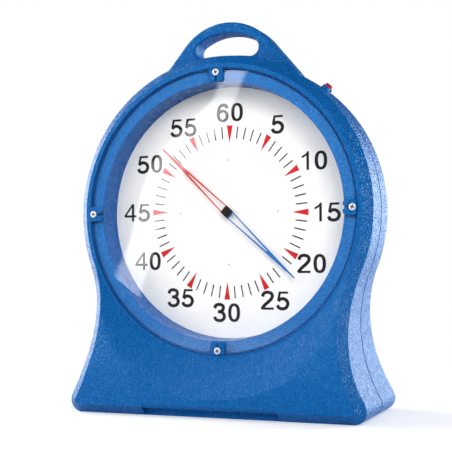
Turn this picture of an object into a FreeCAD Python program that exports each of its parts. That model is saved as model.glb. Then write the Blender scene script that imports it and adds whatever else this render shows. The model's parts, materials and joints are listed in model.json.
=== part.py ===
"""Portable swimming pace clock: a moulded free-standing housing with a deep round dial.

The geometry is laid out from the centre of the dial on the plane of its rim:
X to the right, Y into the clock, Z up, in millimetres.  The finished part stands
on Z = 0 with the middle of its foot at X = 0, Y = 0.
"""
import FreeCAD, Part
import Sketcher
import math
import os
import re

V = FreeCAD.Vector

# Driving dimensions in millimetres and degrees
SIZES = {
    # Overall form of the housing
    "dial_height": 405.0,            # dial centre above the floor
    "foot_depth": 266.0,             # front to back of the foot
    "head_setback": 56.0,            # rim plane behind the front of the foot
    "head_depth": 146.0,             # front to back of the round head
    "waist_drop": 226.0,             # narrowest height below the dial centre
    "waist_radius": 288.0,           # hollow curve from the head to the foot
    "foot_corner": 25.0,
    "sweep_angle": 16.0,             # slope of the skirt, front and rear
    "front_sweep_drop": 75.0,        # where the front starts to sweep forward
    "rear_sweep_drop": 112.0,        # where the rear starts to sweep back
    "front_bend": 370.0,
    "rear_bend": 90.0,
    "toe_bend": 205.0,               # lower bend, front and rear
    "front_chamfer": 18.0,
    "rear_chamfer": 14.0,
    "wall": 6.0,
    "dish_margin": 4.0,              # flat land between the lens seat and the dished panel
    "dish_angle": 36.0,
    "parting_depth": 80.0,           # mould parting plane behind the rim plane
    "parting_width": 5.0,
    "parting_groove": 2.0,
    # Recess along the front of the foot
    "notch_width": 284.0,
    "notch_height": 16.0,
    "notch_lip": 7.0,                # height and run of the lip's sloping face
    "notch_lip_run": 5.0,
    "notch_depth": 20.0,
    # Carrying handle
    "handle_rise": 77.5,             # top of the handle above the head
    "handle_radius": 121.0,
    "handle_side_angle": 40.0,
    "handle_thickness": 50.0,
    "handle_bar": 22.5,
    "handle_round": 5.0,
    "grip_radius": 114.0,
    "grip_corner": 18.0,
    "grip_floor": 8.0,
    # Rings of the head outside the dial, and the lens with its clips
    "dial_gap": 0.5,
    "bowl_flare": 2.0,               # the bowl widens from the dial to the ledge
    "ledge_width": 27.5,
    "rim_width": 27.0,
    "seat_depth": 7.5,
    "lens_gap": 2.0,
    "lens_thickness": 3.0,
    "lens_seal_thickness": 1.5,
    "lens_seal_width": 2.5,
    "clip_seat": 18.5,               # clip screws outside the inner edge of the ledge
    "clip_width": 30.0,
    "clip_reach": 19.5,              # from the screw towards the dial centre
    "clip_heel": 7.5,                # from the screw outwards
    "clip_thickness": 5.0,
    "clip_corner": 8.0,
    "clip_slot": 3.0,
    "clip_screw_radius": 2.0,
    "clip_screw_head": 6.8,
    "clip_screw_rise": 3.0,
    "clip_screw_length": 14.0,
    # Dial
    "dial_depth": 63.0,
    "dial_radius": 257.0,
    "dial_thickness": 3.0,
    "dial_screw_circle": 107.0,
    "dial_screw_radius": 1.5,
    "dial_screw_head": 3.4,
    "dial_screw_rise": 1.4,
    "dial_screw_length": 7.5,
    "floor_opening": 75.0,
    # Service opening and its cover
    "service_width": 180.0,
    "service_height": 230.0,
    "service_rise": 20.0,
    "service_corner": 16.0,
    "cover_margin": 13.0,
    "cover_thickness": 4.0,
    "cover_rib": 2.0,
    "cover_rib_depth": 5.0,          # reach of the locating rib past the seal
    "cover_rib_gap": 1.0,
    "cover_seal_thickness": 2.0,
    "cover_screw_inset": 6.5,
    "cover_screw_radius": 2.0,
    "cover_screw_head": 4.0,
    "cover_screw_rise": 2.4,
    "cover_screw_length": 12.0,
    # Hands and their hub
    "hand_angle": 313.3,             # red hand, clockwise from the top of the dial
    "hand_length": 197.0,
    "hand_tip": 2.2,
    "hand_bar": 2.2,
    "hand_window": 118.0,            # end of the slot between the two bars
    "hand_thickness": 1.2,
    "hand_tongue": 12.0,
    "hub_width": 18.0,
    "hub_thickness": 8.0,
    "hub_standoff": 4.5,             # back of the hub in front of the dial
    "hub_front_wall": 1.5,
    # Movement
    "shaft_radius": 2.5,
    "running_gap": 0.05,
    "fit_gap": 0.02,
    "stem_radius": 5.0,
    "bush_wall": 1.4,
    "stem_rise": 4.0,
    "washer_thickness": 1.0,
    "washer_radius": 8.5,
    "nut_thickness": 2.5,
    "nut_radius": 8.0,
    "case_width": 74.0,
    "case_height": 80.0,
    "case_offset": 9.0,              # case centre beside the output shaft
    "case_drop": 12.0,               # case centre below the output shaft
    "case_depth": 19.0,
    "case_wall": 3.0,
    "case_corner": 5.0,
    "case_lid_depth": 22.0,
    "post_radius": 4.0,
    "post_inset": 7.5,
    "case_screw_radius": 1.4,
    "case_screw_head": 2.8,
    "case_screw_rise": 1.8,
    "case_screw_length": 33.0,
    "gear_module": 0.8,
    "wheel_teeth": 48.0,
    "pinion_teeth": 12.0,
    "backlash": 0.2,
    "gear_gap": 0.5,
    "output_gear_width": 5.0,
    "idler_wheel_width": 4.0,
    "motor_plate_thickness": 2.0,
    "arbor_radius": 1.25,
    "motor_radius": 15.0,
    "motor_length": 17.0,
    "motor_boss_radius": 4.0,
    "motor_boss_rise": 1.2,
    "motor_shaft_radius": 1.0,
    # Battery
    "battery_radius": 16.6,
    "battery_length": 59.5,
    "battery_nub_radius": 4.7,
    "battery_nub_rise": 1.5,
    "battery_rise": 106.0,           # cell axis above the dial centre
    "battery_gap": 0.3,
    "contact_thickness": 0.8,
    "contact_spring": 2.4,
    "holder_wall": 2.5,
    "holder_grip": 4.0,              # how far the tray closes past the cell's axis
    "contact_width": 12.0,
    "contact_reach": 4.0,            # solder tag above the tray
    "ear_width": 14.0,
    "ear_length": 10.0,
    "ear_screw_radius": 1.5,
    "ear_screw_head": 3.0,
    "ear_screw_rise": 1.8,
    "ear_screw_length": 7.0,
    # Start and stop button on the shoulder
    "button_angle": 41.0,            # clockwise from the top of the head
    "button_depth": 70.0,
    "button_flat": 0.6,
    "collar_radius": 12.5,
    "collar_height": 10.0,
    "collar_taper": 8.0,
    "cap_radius": 7.6,
    "cap_height": 9.0,
    "cap_sink": 3.2,
    "cap_travel": 2.5,
    "cap_clearance": 0.3,            # left under the cap and its pin at the end of the travel
    "pin_radius": 4.0,
    "barrel_radius": 6.0,
    "barrel_length": 28.0,
    "barrel_nut_radius": 9.0,
    "barrel_nut_thickness": 3.0,
    "barrel_nut_relief": 0.2,        # under the nut, where the wall curves away
    "switch_width": 14.0,
    "switch_length": 10.0,
    # Leads inside the housing
    "lead_radius": 1.2,
    "lead_offset": 5.0,              # button lead behind the button's axis
    "lead_rise": 8.0,                # leads behind the joint of the movement case
}

# Radii that are sums of sizes
SUMS = {
    "seat_radius": ["dial_radius", "dial_gap", "bowl_flare", "ledge_width"],
    "clip_circle": ["dial_radius", "dial_gap", "bowl_flare", "clip_seat"],
    "head_radius": ["seat_radius", "rim_width"],
}

doc = FreeCAD.newDocument("PaceClock")


def make_sheet():
    sheet = doc.addObject("Spreadsheet::Sheet", "Sizes")
    for row, (word, number) in enumerate(SIZES.items(), start=1):
        sheet.set("A%d" % row, word)
        sheet.set("B%d" % row, str(number))
        sheet.setAlias("B%d" % row, word)
    doc.recompute()
    return sheet


sheet = make_sheet()


def size(word):
    """Number that the sheet holds under a word, or the sum that a word stands for."""
    if word in SUMS:
        return sum(size(part) for part in SUMS[word])
    return float(getattr(sheet, word))


def formula(text):
    """Write the sheet's name before each of its words, and sums in full."""
    def term(found):
        word = found.group(0)
        if word in SUMS:
            return "(%s)" % formula(" + ".join(SUMS[word]))
        return "Sizes." + word if word in SIZES else word
    return re.sub(r"[a-z]\w+", term, text)


def bind(item, **formulas):
    for name, text in formulas.items():
        item.setExpression(name, formula(text))


# Directions: each rotation turns a shape's own Z axis to the direction in its name
BACKWARD = FreeCAD.Rotation(V(0, 0, 1), V(0, 1, 0))
FORWARD = FreeCAD.Rotation(V(0, 0, 1), V(0, -1, 0))
RIGHTWARD = FreeCAD.Rotation(V(0, 0, 1), V(1, 0, 0))
UPRIGHT = FreeCAD.Rotation()
# Sketch planes: facing the dial, and seen from the right-hand side
FACE_ON = FreeCAD.Rotation(V(1, 0, 0), 90)
SIDE_ON = FreeCAD.Rotation(V(0, 1, 0), V(0, 0, 1), V(1, 0, 0), "XYZ")


def place(item, x="0", y="0", z="0", turn=UPRIGHT):
    """Set an item at a point measured from the dial centre on the rim plane."""
    item.Placement = FreeCAD.Placement(V(), turn)
    item.setExpression("Placement.Base.x", formula(x))
    item.setExpression("Placement.Base.y", formula("(%s) + head_setback - foot_depth / 2" % y))
    item.setExpression("Placement.Base.z", formula("(%s) + dial_height" % z))
    return item


def home(x=0.0, y=0.0, z=0.0, turn=UPRIGHT):
    """The same point as a placement, for shapes made by Part's functions."""
    base = V(x, y + size("head_setback") - size("foot_depth") / 2, z + size("dial_height"))
    return FreeCAD.Placement(base, turn)


def cylinder(name, radius, height, x="0", y="0", z="0", turn=BACKWARD):
    item = doc.addObject("Part::Cylinder", name)
    bind(item, Radius=radius, Height=height)
    return place(item, x, y, z, turn)


def cone(name, radius_low, radius_high, height, x="0", y="0", z="0", turn=BACKWARD):
    item = doc.addObject("Part::Cone", name)
    bind(item, Radius1=radius_low, Radius2=radius_high, Height=height)
    return place(item, x, y, z, turn)


def block(name, width, depth, height, x, y, z):
    """Box whose lowest corner is at the given point."""
    item = doc.addObject("Part::Box", name)
    bind(item, Length=width, Width=depth, Height=height)
    return place(item, x, y, z)


def prism(name, sides, radius, height, x="0", y="0", z="0", turn=BACKWARD):
    item = doc.addObject("Part::Prism", name)
    item.Polygon = sides
    bind(item, Circumradius=radius, Height=height)
    return place(item, x, y, z, turn)


def cut(name, base, tool):
    item = doc.addObject("Part::Cut", name)
    item.Base = base
    item.Tool = tool
    return item


def common(name, base, tool):
    item = doc.addObject("Part::Common", name)
    item.Base = base
    item.Tool = tool
    return item


def fuse(name, *items):
    item = doc.addObject("Part::MultiFuse", name)
    item.Shapes = list(items)
    return item


def group(name, items):
    item = doc.addObject("Part::Compound", name)
    item.Links = list(items)
    return item


def round_edges(name, base, radius, wanted, kind="Part::Fillet"):
    """Fillet or chamfer the edges of a shape that the test wanted() accepts."""
    doc.recompute()
    chosen = [(number, radius, radius) for number, edge in enumerate(base.Shape.Edges, start=1)
              if wanted(edge)]
    item = doc.addObject(kind, name)
    item.Base = base
    item.Edges = chosen
    return item


def sketch(name, pieces, turn=FACE_ON, x="0", y="0", z="0"):
    """Closed outline of lines and arcs; arcs given with a word keep that radius.

    A piece is ("line", start, end) or ("arc", centre, radius, first, last, word),
    with angles in degrees, and the pieces follow each other round the outline.
    """
    item = doc.addObject("Sketcher::SketchObject", name)
    place(item, x, y, z, turn)
    fill_sketch(item, pieces)
    return item


def fill_sketch(item, pieces):
    for number, piece in enumerate(pieces):
        if piece[0] == "line":
            item.addGeometry(Part.LineSegment(V(*piece[1], 0), V(*piece[2], 0)), False)
        elif piece[0] == "circle":
            item.addGeometry(Part.Circle(V(*piece[1], 0), V(0, 0, 1), piece[2]), False)
        else:
            ring = Part.Circle(V(*piece[1], 0), V(0, 0, 1), piece[2])
            first, last = math.radians(piece[3]), math.radians(piece[4])
            item.addGeometry(Part.ArcOfCircle(ring, first, last), False)
        if piece[0] != "line" and piece[-1]:
            row = item.addConstraint(Sketcher.Constraint("Radius", number, piece[2]))
            item.renameConstraint(row, "round%d" % number)
            item.setExpression("Constraints.round%d" % number, formula(piece[-1]))


def extrude(name, base, length, both_ways=True):
    item = doc.addObject("Part::Extrusion", name)
    item.Base = base
    item.DirMode = "Normal"
    item.Solid = True
    item.Symmetric = both_ways
    bind(item, LengthFwd=length)
    return item


def polar(radius, degrees):
    """Point at an angle counted anticlockwise from +X."""
    turn = math.radians(degrees)
    return (radius * math.cos(turn), radius * math.sin(turn))


def add(a, b):
    return (a[0] + b[0], a[1] + b[1])


nodes = []


def node(item, name):
    """Register a finished sub-part under the name of its file."""
    item.Label = name
    nodes.append(item)
    return item


# Housing form: the outline seen from the front, and the profile seen from the side

def outline(inset):
    """Head circle, hollow waist, rounded foot corners and flat base, moved in by inset."""
    head, hollow = size("head_radius"), size("waist_radius")
    corner, base = size("foot_corner"), -size("dial_height")
    waist = (math.sqrt((head + hollow) ** 2 - size("waist_drop") ** 2), -size("waist_drop"))
    meet = math.degrees(math.atan2(waist[1], waist[0]))
    corner_z = base + corner
    corner_x = waist[0] - math.sqrt((hollow + corner) ** 2 - (corner_z - waist[1]) ** 2)
    toe = math.degrees(math.atan2(waist[1] - corner_z, waist[0] - corner_x))
    head_in, hollow_in, corner_in = head - inset, hollow + inset, corner - inset
    mirror = (-waist[0], waist[1])
    word = (lambda text: text) if inset == 0 else (lambda text: "")
    return [
        ("arc", (0, 0), head_in, meet, 180 - meet, word("head_radius")),
        ("arc", mirror, hollow_in, -toe, -meet, word("waist_radius")),
        ("arc", (-corner_x, corner_z), corner_in, 180 - toe, 270, word("foot_corner")),
        ("line", (-corner_x, base + inset), (corner_x, base + inset)),
        ("arc", (corner_x, corner_z), corner_in, -90, toe, word("foot_corner")),
        ("arc", waist, hollow_in, 180 + meet, 180 + toe, word("waist_radius")),
    ]


def sweep_run(setback, upper, lower):
    """Length of the straight slope that makes a double bend reach its setback."""
    slope = math.radians(size("sweep_angle"))
    bends = (upper + lower) * (1 - math.cos(slope))
    return (setback - bends) / math.sin(slope)


def swept_side(plane, setback, drop, upper, side, inset):
    """One side of the profile from the head down: plane, bend, slope, bend, plane.

    side is -1 for the front, whose foot lies at smaller Y, and +1 for the rear.
    """
    angle = size("sweep_angle")
    slope = math.radians(angle)
    lower = size("toe_bend")
    run = sweep_run(setback, upper, lower)
    top = (plane, -drop)
    centre_up = (plane + side * upper, -drop)
    bend_end = (plane + side * upper * (1 - math.cos(slope)), -drop - upper * math.sin(slope))
    slope_end = (bend_end[0] + side * run * math.sin(slope), bend_end[1] - run * math.cos(slope))
    centre_low = (slope_end[0] - side * lower * math.cos(slope),
                  slope_end[1] - lower * math.sin(slope))
    inward = -side * inset
    shift = (inward * math.cos(slope), -inset * math.sin(slope))
    if side < 0:
        upper_arc = ("arc", centre_up, upper + inset, -angle, 0, "")
        lower_arc = ("arc", centre_low, lower - inset, 180 - angle, 180, "")
    else:
        upper_arc = ("arc", centre_up, upper + inset, 180, 180 + angle, "")
        lower_arc = ("arc", centre_low, lower - inset, 0, angle, "")
    return (top[0] + inward, upper_arc, add(bend_end, shift), add(slope_end, shift), lower_arc,
            centre_low[0] + side * (lower - inset), centre_low[1])


def profile(inset):
    """Side view of the housing: upright head that sweeps out to the foot, front and rear."""
    rear_setback = size("foot_depth") - size("head_setback") - size("head_depth")
    front = swept_side(0.0, size("head_setback"), size("front_sweep_drop"), size("front_bend"),
                       -1, inset)
    rear = swept_side(size("head_depth"), rear_setback, size("rear_sweep_drop"),
                      size("rear_bend"), 1, inset)
    top = size("head_radius") + size("wall")
    bottom = -size("dial_height") - size("wall")
    pieces = []
    drops = (size("front_sweep_drop"), size("rear_sweep_drop"))
    for drop, (plane, upper, bend_end, slope_end, lower, toe, toe_z) in zip(drops, (front, rear)):
        pieces.append(("line", (plane, top), (plane, -drop)))
        pieces.append(upper)
        pieces.append(("line", bend_end, slope_end))
        pieces.append(lower)
        pieces.append(("line", (toe, toe_z), (toe, bottom)))
    pieces.append(("line", (front[0], top), (rear[0], top)))
    pieces.append(("line", (front[5], bottom), (rear[5], bottom)))
    return pieces


def normals(shape, edge):
    """Y parts of the outward normals of the two faces that meet at an edge."""
    middle = edge.valueAt((edge.FirstParameter + edge.LastParameter) / 2)
    faces = shape.ancestorsOfType(edge, Part.Face)
    return sorted(face.normalAt(*face.Surface.parameter(middle)).y for face in faces)


def rim_edges(item, side):
    """Test for the edges between the outline's walls and the front or rear surface."""
    doc.recompute()
    shape = item.Shape

    def wanted(edge):
        values = sorted(value * side for value in normals(shape, edge))
        return len(values) == 2 and values[1] > 0.7 and abs(values[0]) < 0.1
    return wanted


def moulded_form(name, inset):
    """Housing form moved in by inset: its skin at 0, its hollow at the wall's thickness."""
    shrink = inset * (2 - math.sqrt(2))
    face = extrude(name + "Face", sketch(name + "Outline", outline(inset)), "2 * foot_depth")
    side = extrude(name + "Side", sketch(name + "Profile", profile(inset), SIDE_ON),
                   "4 * head_radius")
    blank = common(name + "Blank", face, side)
    front = round_edges(name + "FrontChamfer", blank, size("front_chamfer") - shrink,
                        rim_edges(blank, -1), "Part::Chamfer")
    rear = round_edges(name + "RearChamfer", front, size("rear_chamfer") - shrink,
                       rim_edges(front, 1), "Part::Chamfer")
    back = "wall / cos(dish_angle)" if inset else "0"
    dish = cone(name + "Dish", "seat_radius + dish_margin",
                "seat_radius + dish_margin + (head_setback + front_chamfer) / tan(dish_angle)",
                "head_setback + front_chamfer", y=back, turn=FORWARD)
    return cut(name + "Form", rear, dish)


def stepped_recess(name, grow, floor):
    """Bore of the dial recess; grow moves its walls out, to make the bowl round it."""
    seat = cylinder(name + "Seat", "seat_radius + " + grow, "2 * seat_depth + " + grow,
                    y="-seat_depth")
    wall = cone(name + "Wall", "seat_radius - ledge_width + " + grow,
                "dial_radius + dial_gap + " + grow, "dial_depth - seat_depth - (%s)" % grow,
                y="seat_depth + " + grow)
    pit = cylinder(name + "Pit", "dial_radius + dial_gap + " + grow,
                   "dial_thickness + " + floor, y="dial_depth")
    return fuse(name, seat, wall, pit)


def notch_block(name, grow):
    """Recess along the bottom front edge of the foot, under a sloping lip."""
    width = size("notch_width") / 2 + grow
    front = -size("head_setback") - size("notch_depth")
    back = -size("head_setback") + size("notch_depth") + grow
    base = -size("dial_height") - size("notch_height")
    top = -size("dial_height") + size("notch_height") + grow
    lip = top + size("notch_lip")
    pieces = [
        ("line", (front, base), (back, base)),
        ("line", (back, base), (back, top)),
        ("line", (back, top), (front + size("notch_depth") + size("notch_lip_run"), top)),
        ("line", (front + size("notch_depth") + size("notch_lip_run"), top),
         (front + size("notch_depth"), lip)),
        ("line", (front + size("notch_depth"), lip), (front, lip)),
        ("line", (front, lip), (front, base)),
    ]
    section = sketch(name + "Section", pieces, SIDE_ON)
    item = extrude(name, section, "notch_width + 2 * wall" if grow else "notch_width")
    return item


def make_handle():
    """Arched plate on the parting plane, with a grip hole that follows the head."""
    radius, angle = size("handle_radius"), size("handle_side_angle")
    centre = (0.0, size("head_radius") + size("handle_rise") - radius)
    shoulder = add(centre, polar(radius, angle))
    slide = size("handle_bar") * 4 + size("wall")
    foot = (shoulder[0] + slide * math.sin(math.radians(angle)),
            shoulder[1] - slide * math.cos(math.radians(angle)))
    root = size("head_radius") * 0.8
    pieces = [
        ("arc", centre, radius, angle, 180 - angle, "handle_radius"),
        ("line", (-shoulder[0], shoulder[1]), (-foot[0], foot[1])),
        ("line", (-foot[0], foot[1]), (-foot[0], root)),
        ("line", (-foot[0], root), (foot[0], root)),
        ("line", (foot[0], root), foot),
        ("line", foot, shoulder),
    ]
    plate = extrude("HandlePlate", sketch("HandleOutline", pieces, y="parting_depth"),
                    "handle_thickness")
    disc = cylinder("GripDisc", "grip_radius", "2 * handle_thickness",
                    y="parting_depth - handle_thickness",
                    z="head_radius + handle_rise - handle_bar - grip_radius")
    below = cylinder("GripFloor", "head_radius + grip_floor", "4 * handle_thickness",
                     y="parting_depth - 2 * handle_thickness")
    crescent = cut("GripCrescent", disc, below)
    grip = round_edges("GripHole", crescent, size("grip_corner"),
                       lambda edge: abs(edge.tangentAt(edge.FirstParameter).y) > 0.9
                       and edge.Curve.TypeId == "Part::GeomLine" and grip_corner(crescent, edge))
    arch = cut("HandleArch", plate, grip)

    def soft(edge):
        values = normals(arch.Shape, edge)
        flat = [abs(value) for value in values]
        middle = edge.valueAt((edge.FirstParameter + edge.LastParameter) / 2)
        high = middle.z > size("dial_height") + root + 1
        return len(flat) == 2 and max(flat) > 0.9 and min(flat) < 0.1 and high
    return round_edges("Handle", arch, size("handle_round"), soft)


def grip_corner(item, edge):
    """True for an edge where the grip hole's arch meets its floor."""
    kinds = {face.Surface.Radius for face in item.Shape.ancestorsOfType(edge, Part.Face)
             if hasattr(face.Surface, "Radius")}
    return len(kinds) == 2


def parting_groove():
    """Shallow groove round the outline on the mould's parting plane."""
    ring = extrude("PartingBlank", sketch("PartingOutline", outline(-size("parting_groove")),
                                          y="parting_depth"), "parting_width")
    keep = extrude("PartingKeep", sketch("PartingInner", outline(size("parting_groove")),
                                         y="parting_depth"), "2 * parting_width")
    return cut("PartingGroove", ring, keep)


def rounded_rectangle(x, z, width, height, radius):
    left, right = x - width / 2, x + width / 2
    low, high = z - height / 2, z + height / 2
    return [
        ("line", (left + radius, low), (right - radius, low)),
        ("arc", (right - radius, low + radius), radius, -90, 0, ""),
        ("line", (right, low + radius), (right, high - radius)),
        ("arc", (right - radius, high - radius), radius, 0, 90, ""),
        ("line", (right - radius, high), (left + radius, high)),
        ("arc", (left + radius, high - radius), radius, 90, 180, ""),
        ("line", (left, high - radius), (left, low + radius)),
        ("arc", (left + radius, low + radius), radius, 180, 270, ""),
    ]


def clock_point(radius, degrees):
    """Expressions for X and Z at an angle counted clockwise from the top of the dial."""
    turn = math.radians(degrees)
    return ("(%s) * %.9f" % (radius, math.sin(turn)), "(%s) * %.9f" % (radius, math.cos(turn)))


def quarter_holes(name, circle, radius, depth, start):
    """Four holes on a circle round the dial axis."""
    holes = []
    for number in range(4):
        x, z = clock_point(circle, 90.0 * number)
        holes.append(cylinder("%s%d" % (name, number), radius, depth, x, start, z))
    return holes


COVER_SIDES = [(i, k) for i in (-1, 0, 1) for k in (-1, 0, 1) if (i, k) != (0, 0)]


def cover_points():
    """Screw positions round the service cover: its corners and the middles of its sides."""
    half_x = "(service_width / 2 + cover_margin - cover_screw_inset)"
    half_z = "(service_height / 2 + cover_margin - cover_screw_inset)"
    return [("%d * %s" % (i, half_x), "service_rise + %d * %s" % (k, half_z))
            for i, k in COVER_SIDES]


TRAY_HALF = "(battery_radius + battery_gap + holder_wall)"


def ear_points():
    """Heights of the two screws that hold the battery tray."""
    return ["battery_rise + %d * (%s + ear_length / 2)" % (side, TRAY_HALF) for side in (-1, 1)]


def radial(distance):
    """Expressions for X and Z at a distance from the dial centre along the button's axis."""
    return "(%s) * sin(button_angle)" % distance, "(%s) * cos(button_angle)" % distance


def on_button(make, name, *sizes, distance):
    """Make a round piece on the button's axis, starting at a distance from the dial centre."""
    x, z = radial(distance)
    turn = FreeCAD.Rotation(V(0, 1, 0), size("button_angle"))
    return make(name, *sizes, x=x, y="button_depth", z=z, turn=turn)


BUTTON_SEAT = "head_radius - button_flat"


def make_housing():
    skin = moulded_form("Skin", 0.0)
    hollow = moulded_form("Hollow", size("wall"))
    bowl = stepped_recess("Bowl", "wall", "wall")
    hollow = cut("HollowRoundBowl", hollow, bowl)
    hollow = cut("HollowBehindNotch", hollow, notch_block("NotchWall", size("wall")))
    shell = cut("Shell", skin, hollow)
    body = cut("ShellParted", shell, parting_groove())
    node(cut("CarryingHandle", make_handle(), skin), "carrying_handle")

    opening = extrude("ServiceOpening", sketch("ServiceOutline", rounded_rectangle(
        0.0, size("service_rise"), size("service_width"), size("service_height"),
        size("service_corner")), y="head_depth"), "4 * wall")
    drills = quarter_holes("ClipPilot", "clip_circle", "clip_screw_radius", "3 * wall",
                           "seat_depth - wall")
    drills += quarter_holes("DialPilot", "dial_screw_circle", "dial_screw_radius",
                            "3 * wall", "dial_depth")
    for number, (x, z) in enumerate(cover_points()):
        drills.append(cylinder("CoverPilot%d" % number, "cover_screw_radius", "3 * wall",
                               x, "head_depth - 2 * wall", z))
    for number, z in enumerate(ear_points()):
        drills.append(cylinder("EarPilot%d" % number, "ear_screw_radius", "3 * wall",
                               y="dial_depth", z=z))
    drills.append(cylinder("FloorOpening", "floor_opening", "4 * wall", y="dial_depth"))
    drills.append(on_button(cylinder, "ButtonFlat", "collar_radius + fit_gap", "collar_height",
                            distance=BUTTON_SEAT))
    drills.append(on_button(cylinder, "ButtonHole", "barrel_radius + fit_gap", "4 * wall",
                            distance="head_radius - 3 * wall"))
    body = cut("HousingRecessed", body, stepped_recess("Recess", "0", "0"))
    body = cut("HousingNotched", body, notch_block("Notch", 0.0))
    body = cut("HousingOpened", body, opening)
    body = cut("Housing", body, fuse("Drills", *drills))
    return node(body, "housing")


# Bodies made of sketches on the dial's plane; depths count from the rim plane

def new_body(name, x="0", z="0", turn=UPRIGHT):
    body = doc.addObject("PartDesign::Body", name)
    return place(body, x=x, z=z, turn=turn)


def face_sketch(body, name, pieces, start):
    """Sketch parallel to the dial at a depth behind the rim plane."""
    plane = [feature for feature in body.Origin.OriginFeatures if feature.Role == "XZ_Plane"][0]
    item = body.newObject("Sketcher::SketchObject", name + "Sketch")
    item.AttachmentSupport = [(plane, "")]
    item.MapMode = "FlatFace"
    item.setExpression("AttachmentOffset.Base.z", formula("-(%s)" % start))
    fill_sketch(item, pieces)
    return item


def pad(body, name, pieces, start, depth, taper="0"):
    """Add material from a depth backwards."""
    item = body.newObject("PartDesign::Pad", name)
    item.Profile = face_sketch(body, name, pieces, start)
    item.Reversed = True
    bind(item, Length=depth)
    if taper != "0":
        bind(item, TaperAngle=taper)
    doc.recompute()
    return item


def pocket(body, name, pieces, start, depth):
    """Remove material from a depth backwards."""
    before = body.Shape.Volume
    item = body.newObject("PartDesign::Pocket", name)
    item.Profile = face_sketch(body, name, pieces, start)
    bind(item, Length=depth)
    doc.recompute()
    if body.Shape.Volume >= before:
        raise ValueError(name + " removes nothing")
    return item


def repeat(body, name, feature, count):
    """Copies of a feature round the body's own Y axis."""
    axis = [part for part in body.Origin.OriginFeatures if part.Role == "Y_Axis"][0]
    item = body.newObject("PartDesign::PolarPattern", name)
    item.Originals = [feature]
    item.Axis = (axis, [""])
    item.Angle = 360.0
    item.Occurrences = count
    body.Tip = item
    doc.recompute()
    return item


def circle(x, z, radius, word=""):
    return ("circle", (x, z), radius, word)


def pan_screw(name, radius, length, head, rise, x, y, z, turn=BACKWARD):
    """Screw whose head bears on a face at y: its shank runs on along the turn's direction."""
    shank = cylinder(name + "Shank", radius, length, x, y, z, turn)
    cap_turn = turn.multiply(FreeCAD.Rotation(V(1, 0, 0), 180))
    cap = cone(name + "Head", head, "(%s) * 0.8" % head, rise, x, y, z, cap_turn)
    return fuse(name, shank, cap)


# Lens with its seal, clips and screws

LENS_FRONT = "seat_depth - lens_seal_thickness - lens_thickness"
CLIP_FRONT = LENS_FRONT + " - clip_thickness"


def make_lens():
    disc = cylinder("LensDisc", "seat_radius - lens_gap", "lens_thickness", y=LENS_FRONT)
    holes = quarter_holes("LensHole", "clip_circle", "clip_screw_radius + lens_gap / 4",
                          "2 * lens_thickness", LENS_FRONT + " - lens_thickness / 2")
    node(cut("Lens", disc, group("LensHoles", holes)), "lens")
    seal_y = "seat_depth - lens_seal_thickness"
    node(ring("LensSeal", "seat_radius - lens_gap", "seat_radius - lens_gap - lens_seal_width",
              "lens_seal_thickness", y=seal_y), "lens_seal")


def clip_outline():
    """Clip seen from the front: square heel, and two rounded lobes towards the dial centre."""
    half, corner = size("clip_width") / 2, size("clip_corner")
    slot = size("clip_slot") / 2
    high = size("clip_circle") + size("clip_heel")
    low = size("clip_circle") - size("clip_reach")
    root = size("clip_circle") - size("clip_screw_head")
    tip = half - slot - corner
    return [
        ("line", (-half, high), (half, high)),
        ("line", (half, high), (half, low + corner)),
        ("arc", (half - corner, low + corner), corner, -90, 0, "clip_corner"),
        ("line", (half - corner, low), (half - corner - tip / 2, low)),
        ("line", (half - corner - tip / 2, low), (slot, low + tip)),
        ("line", (slot, low + tip), (slot, root)),
        ("line", (slot, root), (-slot, root)),
        ("line", (-slot, root), (-slot, low + tip)),
        ("line", (-slot, low + tip), (corner - half + tip / 2, low)),
        ("line", (corner - half + tip / 2, low), (corner - half, low)),
        ("arc", (corner - half, low + corner), corner, 180, 270, "clip_corner"),
        ("line", (-half, low + corner), (-half, high)),
    ]


def make_lens_clips():
    screws = []
    for number, side in enumerate(("top", "right", "bottom", "left")):
        body = new_body("LensClip" + side.capitalize(),
                        turn=FreeCAD.Rotation(V(0, 1, 0), 90 * number))
        pad(body, body.Name + "Pad", clip_outline(), CLIP_FRONT, "clip_thickness")
        hole = circle(0, size("clip_circle"), size("clip_screw_radius"), "clip_screw_radius")
        pocket(body, body.Name + "Hole", [hole], CLIP_FRONT, "clip_thickness")
        node(body, "lens_clip_" + side)
        x, z = clock_point("clip_circle", 90.0 * number)
        screws.append(pan_screw("ClipScrew%d" % number, "clip_screw_radius",
                                "clip_screw_length", "clip_screw_head", "clip_screw_rise",
                                x, CLIP_FRONT, z))
    node(group("ClipScrews", screws), "lens_clip_screws")


# Dial

def make_dial():
    body = new_body("Dial")
    pad(body, "DialDisc", [circle(0, 0, size("dial_radius"), "dial_radius")], "dial_depth",
        "dial_thickness")
    hole = circle(0, 0, size("stem_radius") + size("fit_gap"), "stem_radius + fit_gap")
    pocket(body, "DialStemHole", [hole], "dial_depth", "dial_thickness")
    spot = circle(0, size("dial_screw_circle"), size("dial_screw_radius"), "dial_screw_radius")
    first = pocket(body, "DialScrewHole", [spot], "dial_depth", "dial_thickness")
    repeat(body, "DialScrewHoles", first, 4)
    node(body, "dial")
    screws = []
    for number in range(4):
        x, z = clock_point("dial_screw_circle", 90.0 * number)
        screws.append(pan_screw("DialScrew%d" % number, "dial_screw_radius",
                                "dial_screw_length", "dial_screw_head", "dial_screw_rise",
                                x, "dial_depth", z))
    node(group("DialScrews", screws), "dial_screws")


# Hands: one red and one blue, opposite each other in a black hub

HUB_BACK = "dial_depth - hub_standoff"
HUB_FRONT = HUB_BACK + " - hub_thickness"
HAND_FRONT = HUB_BACK + " - (hub_thickness + hand_thickness) / 2"


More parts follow.
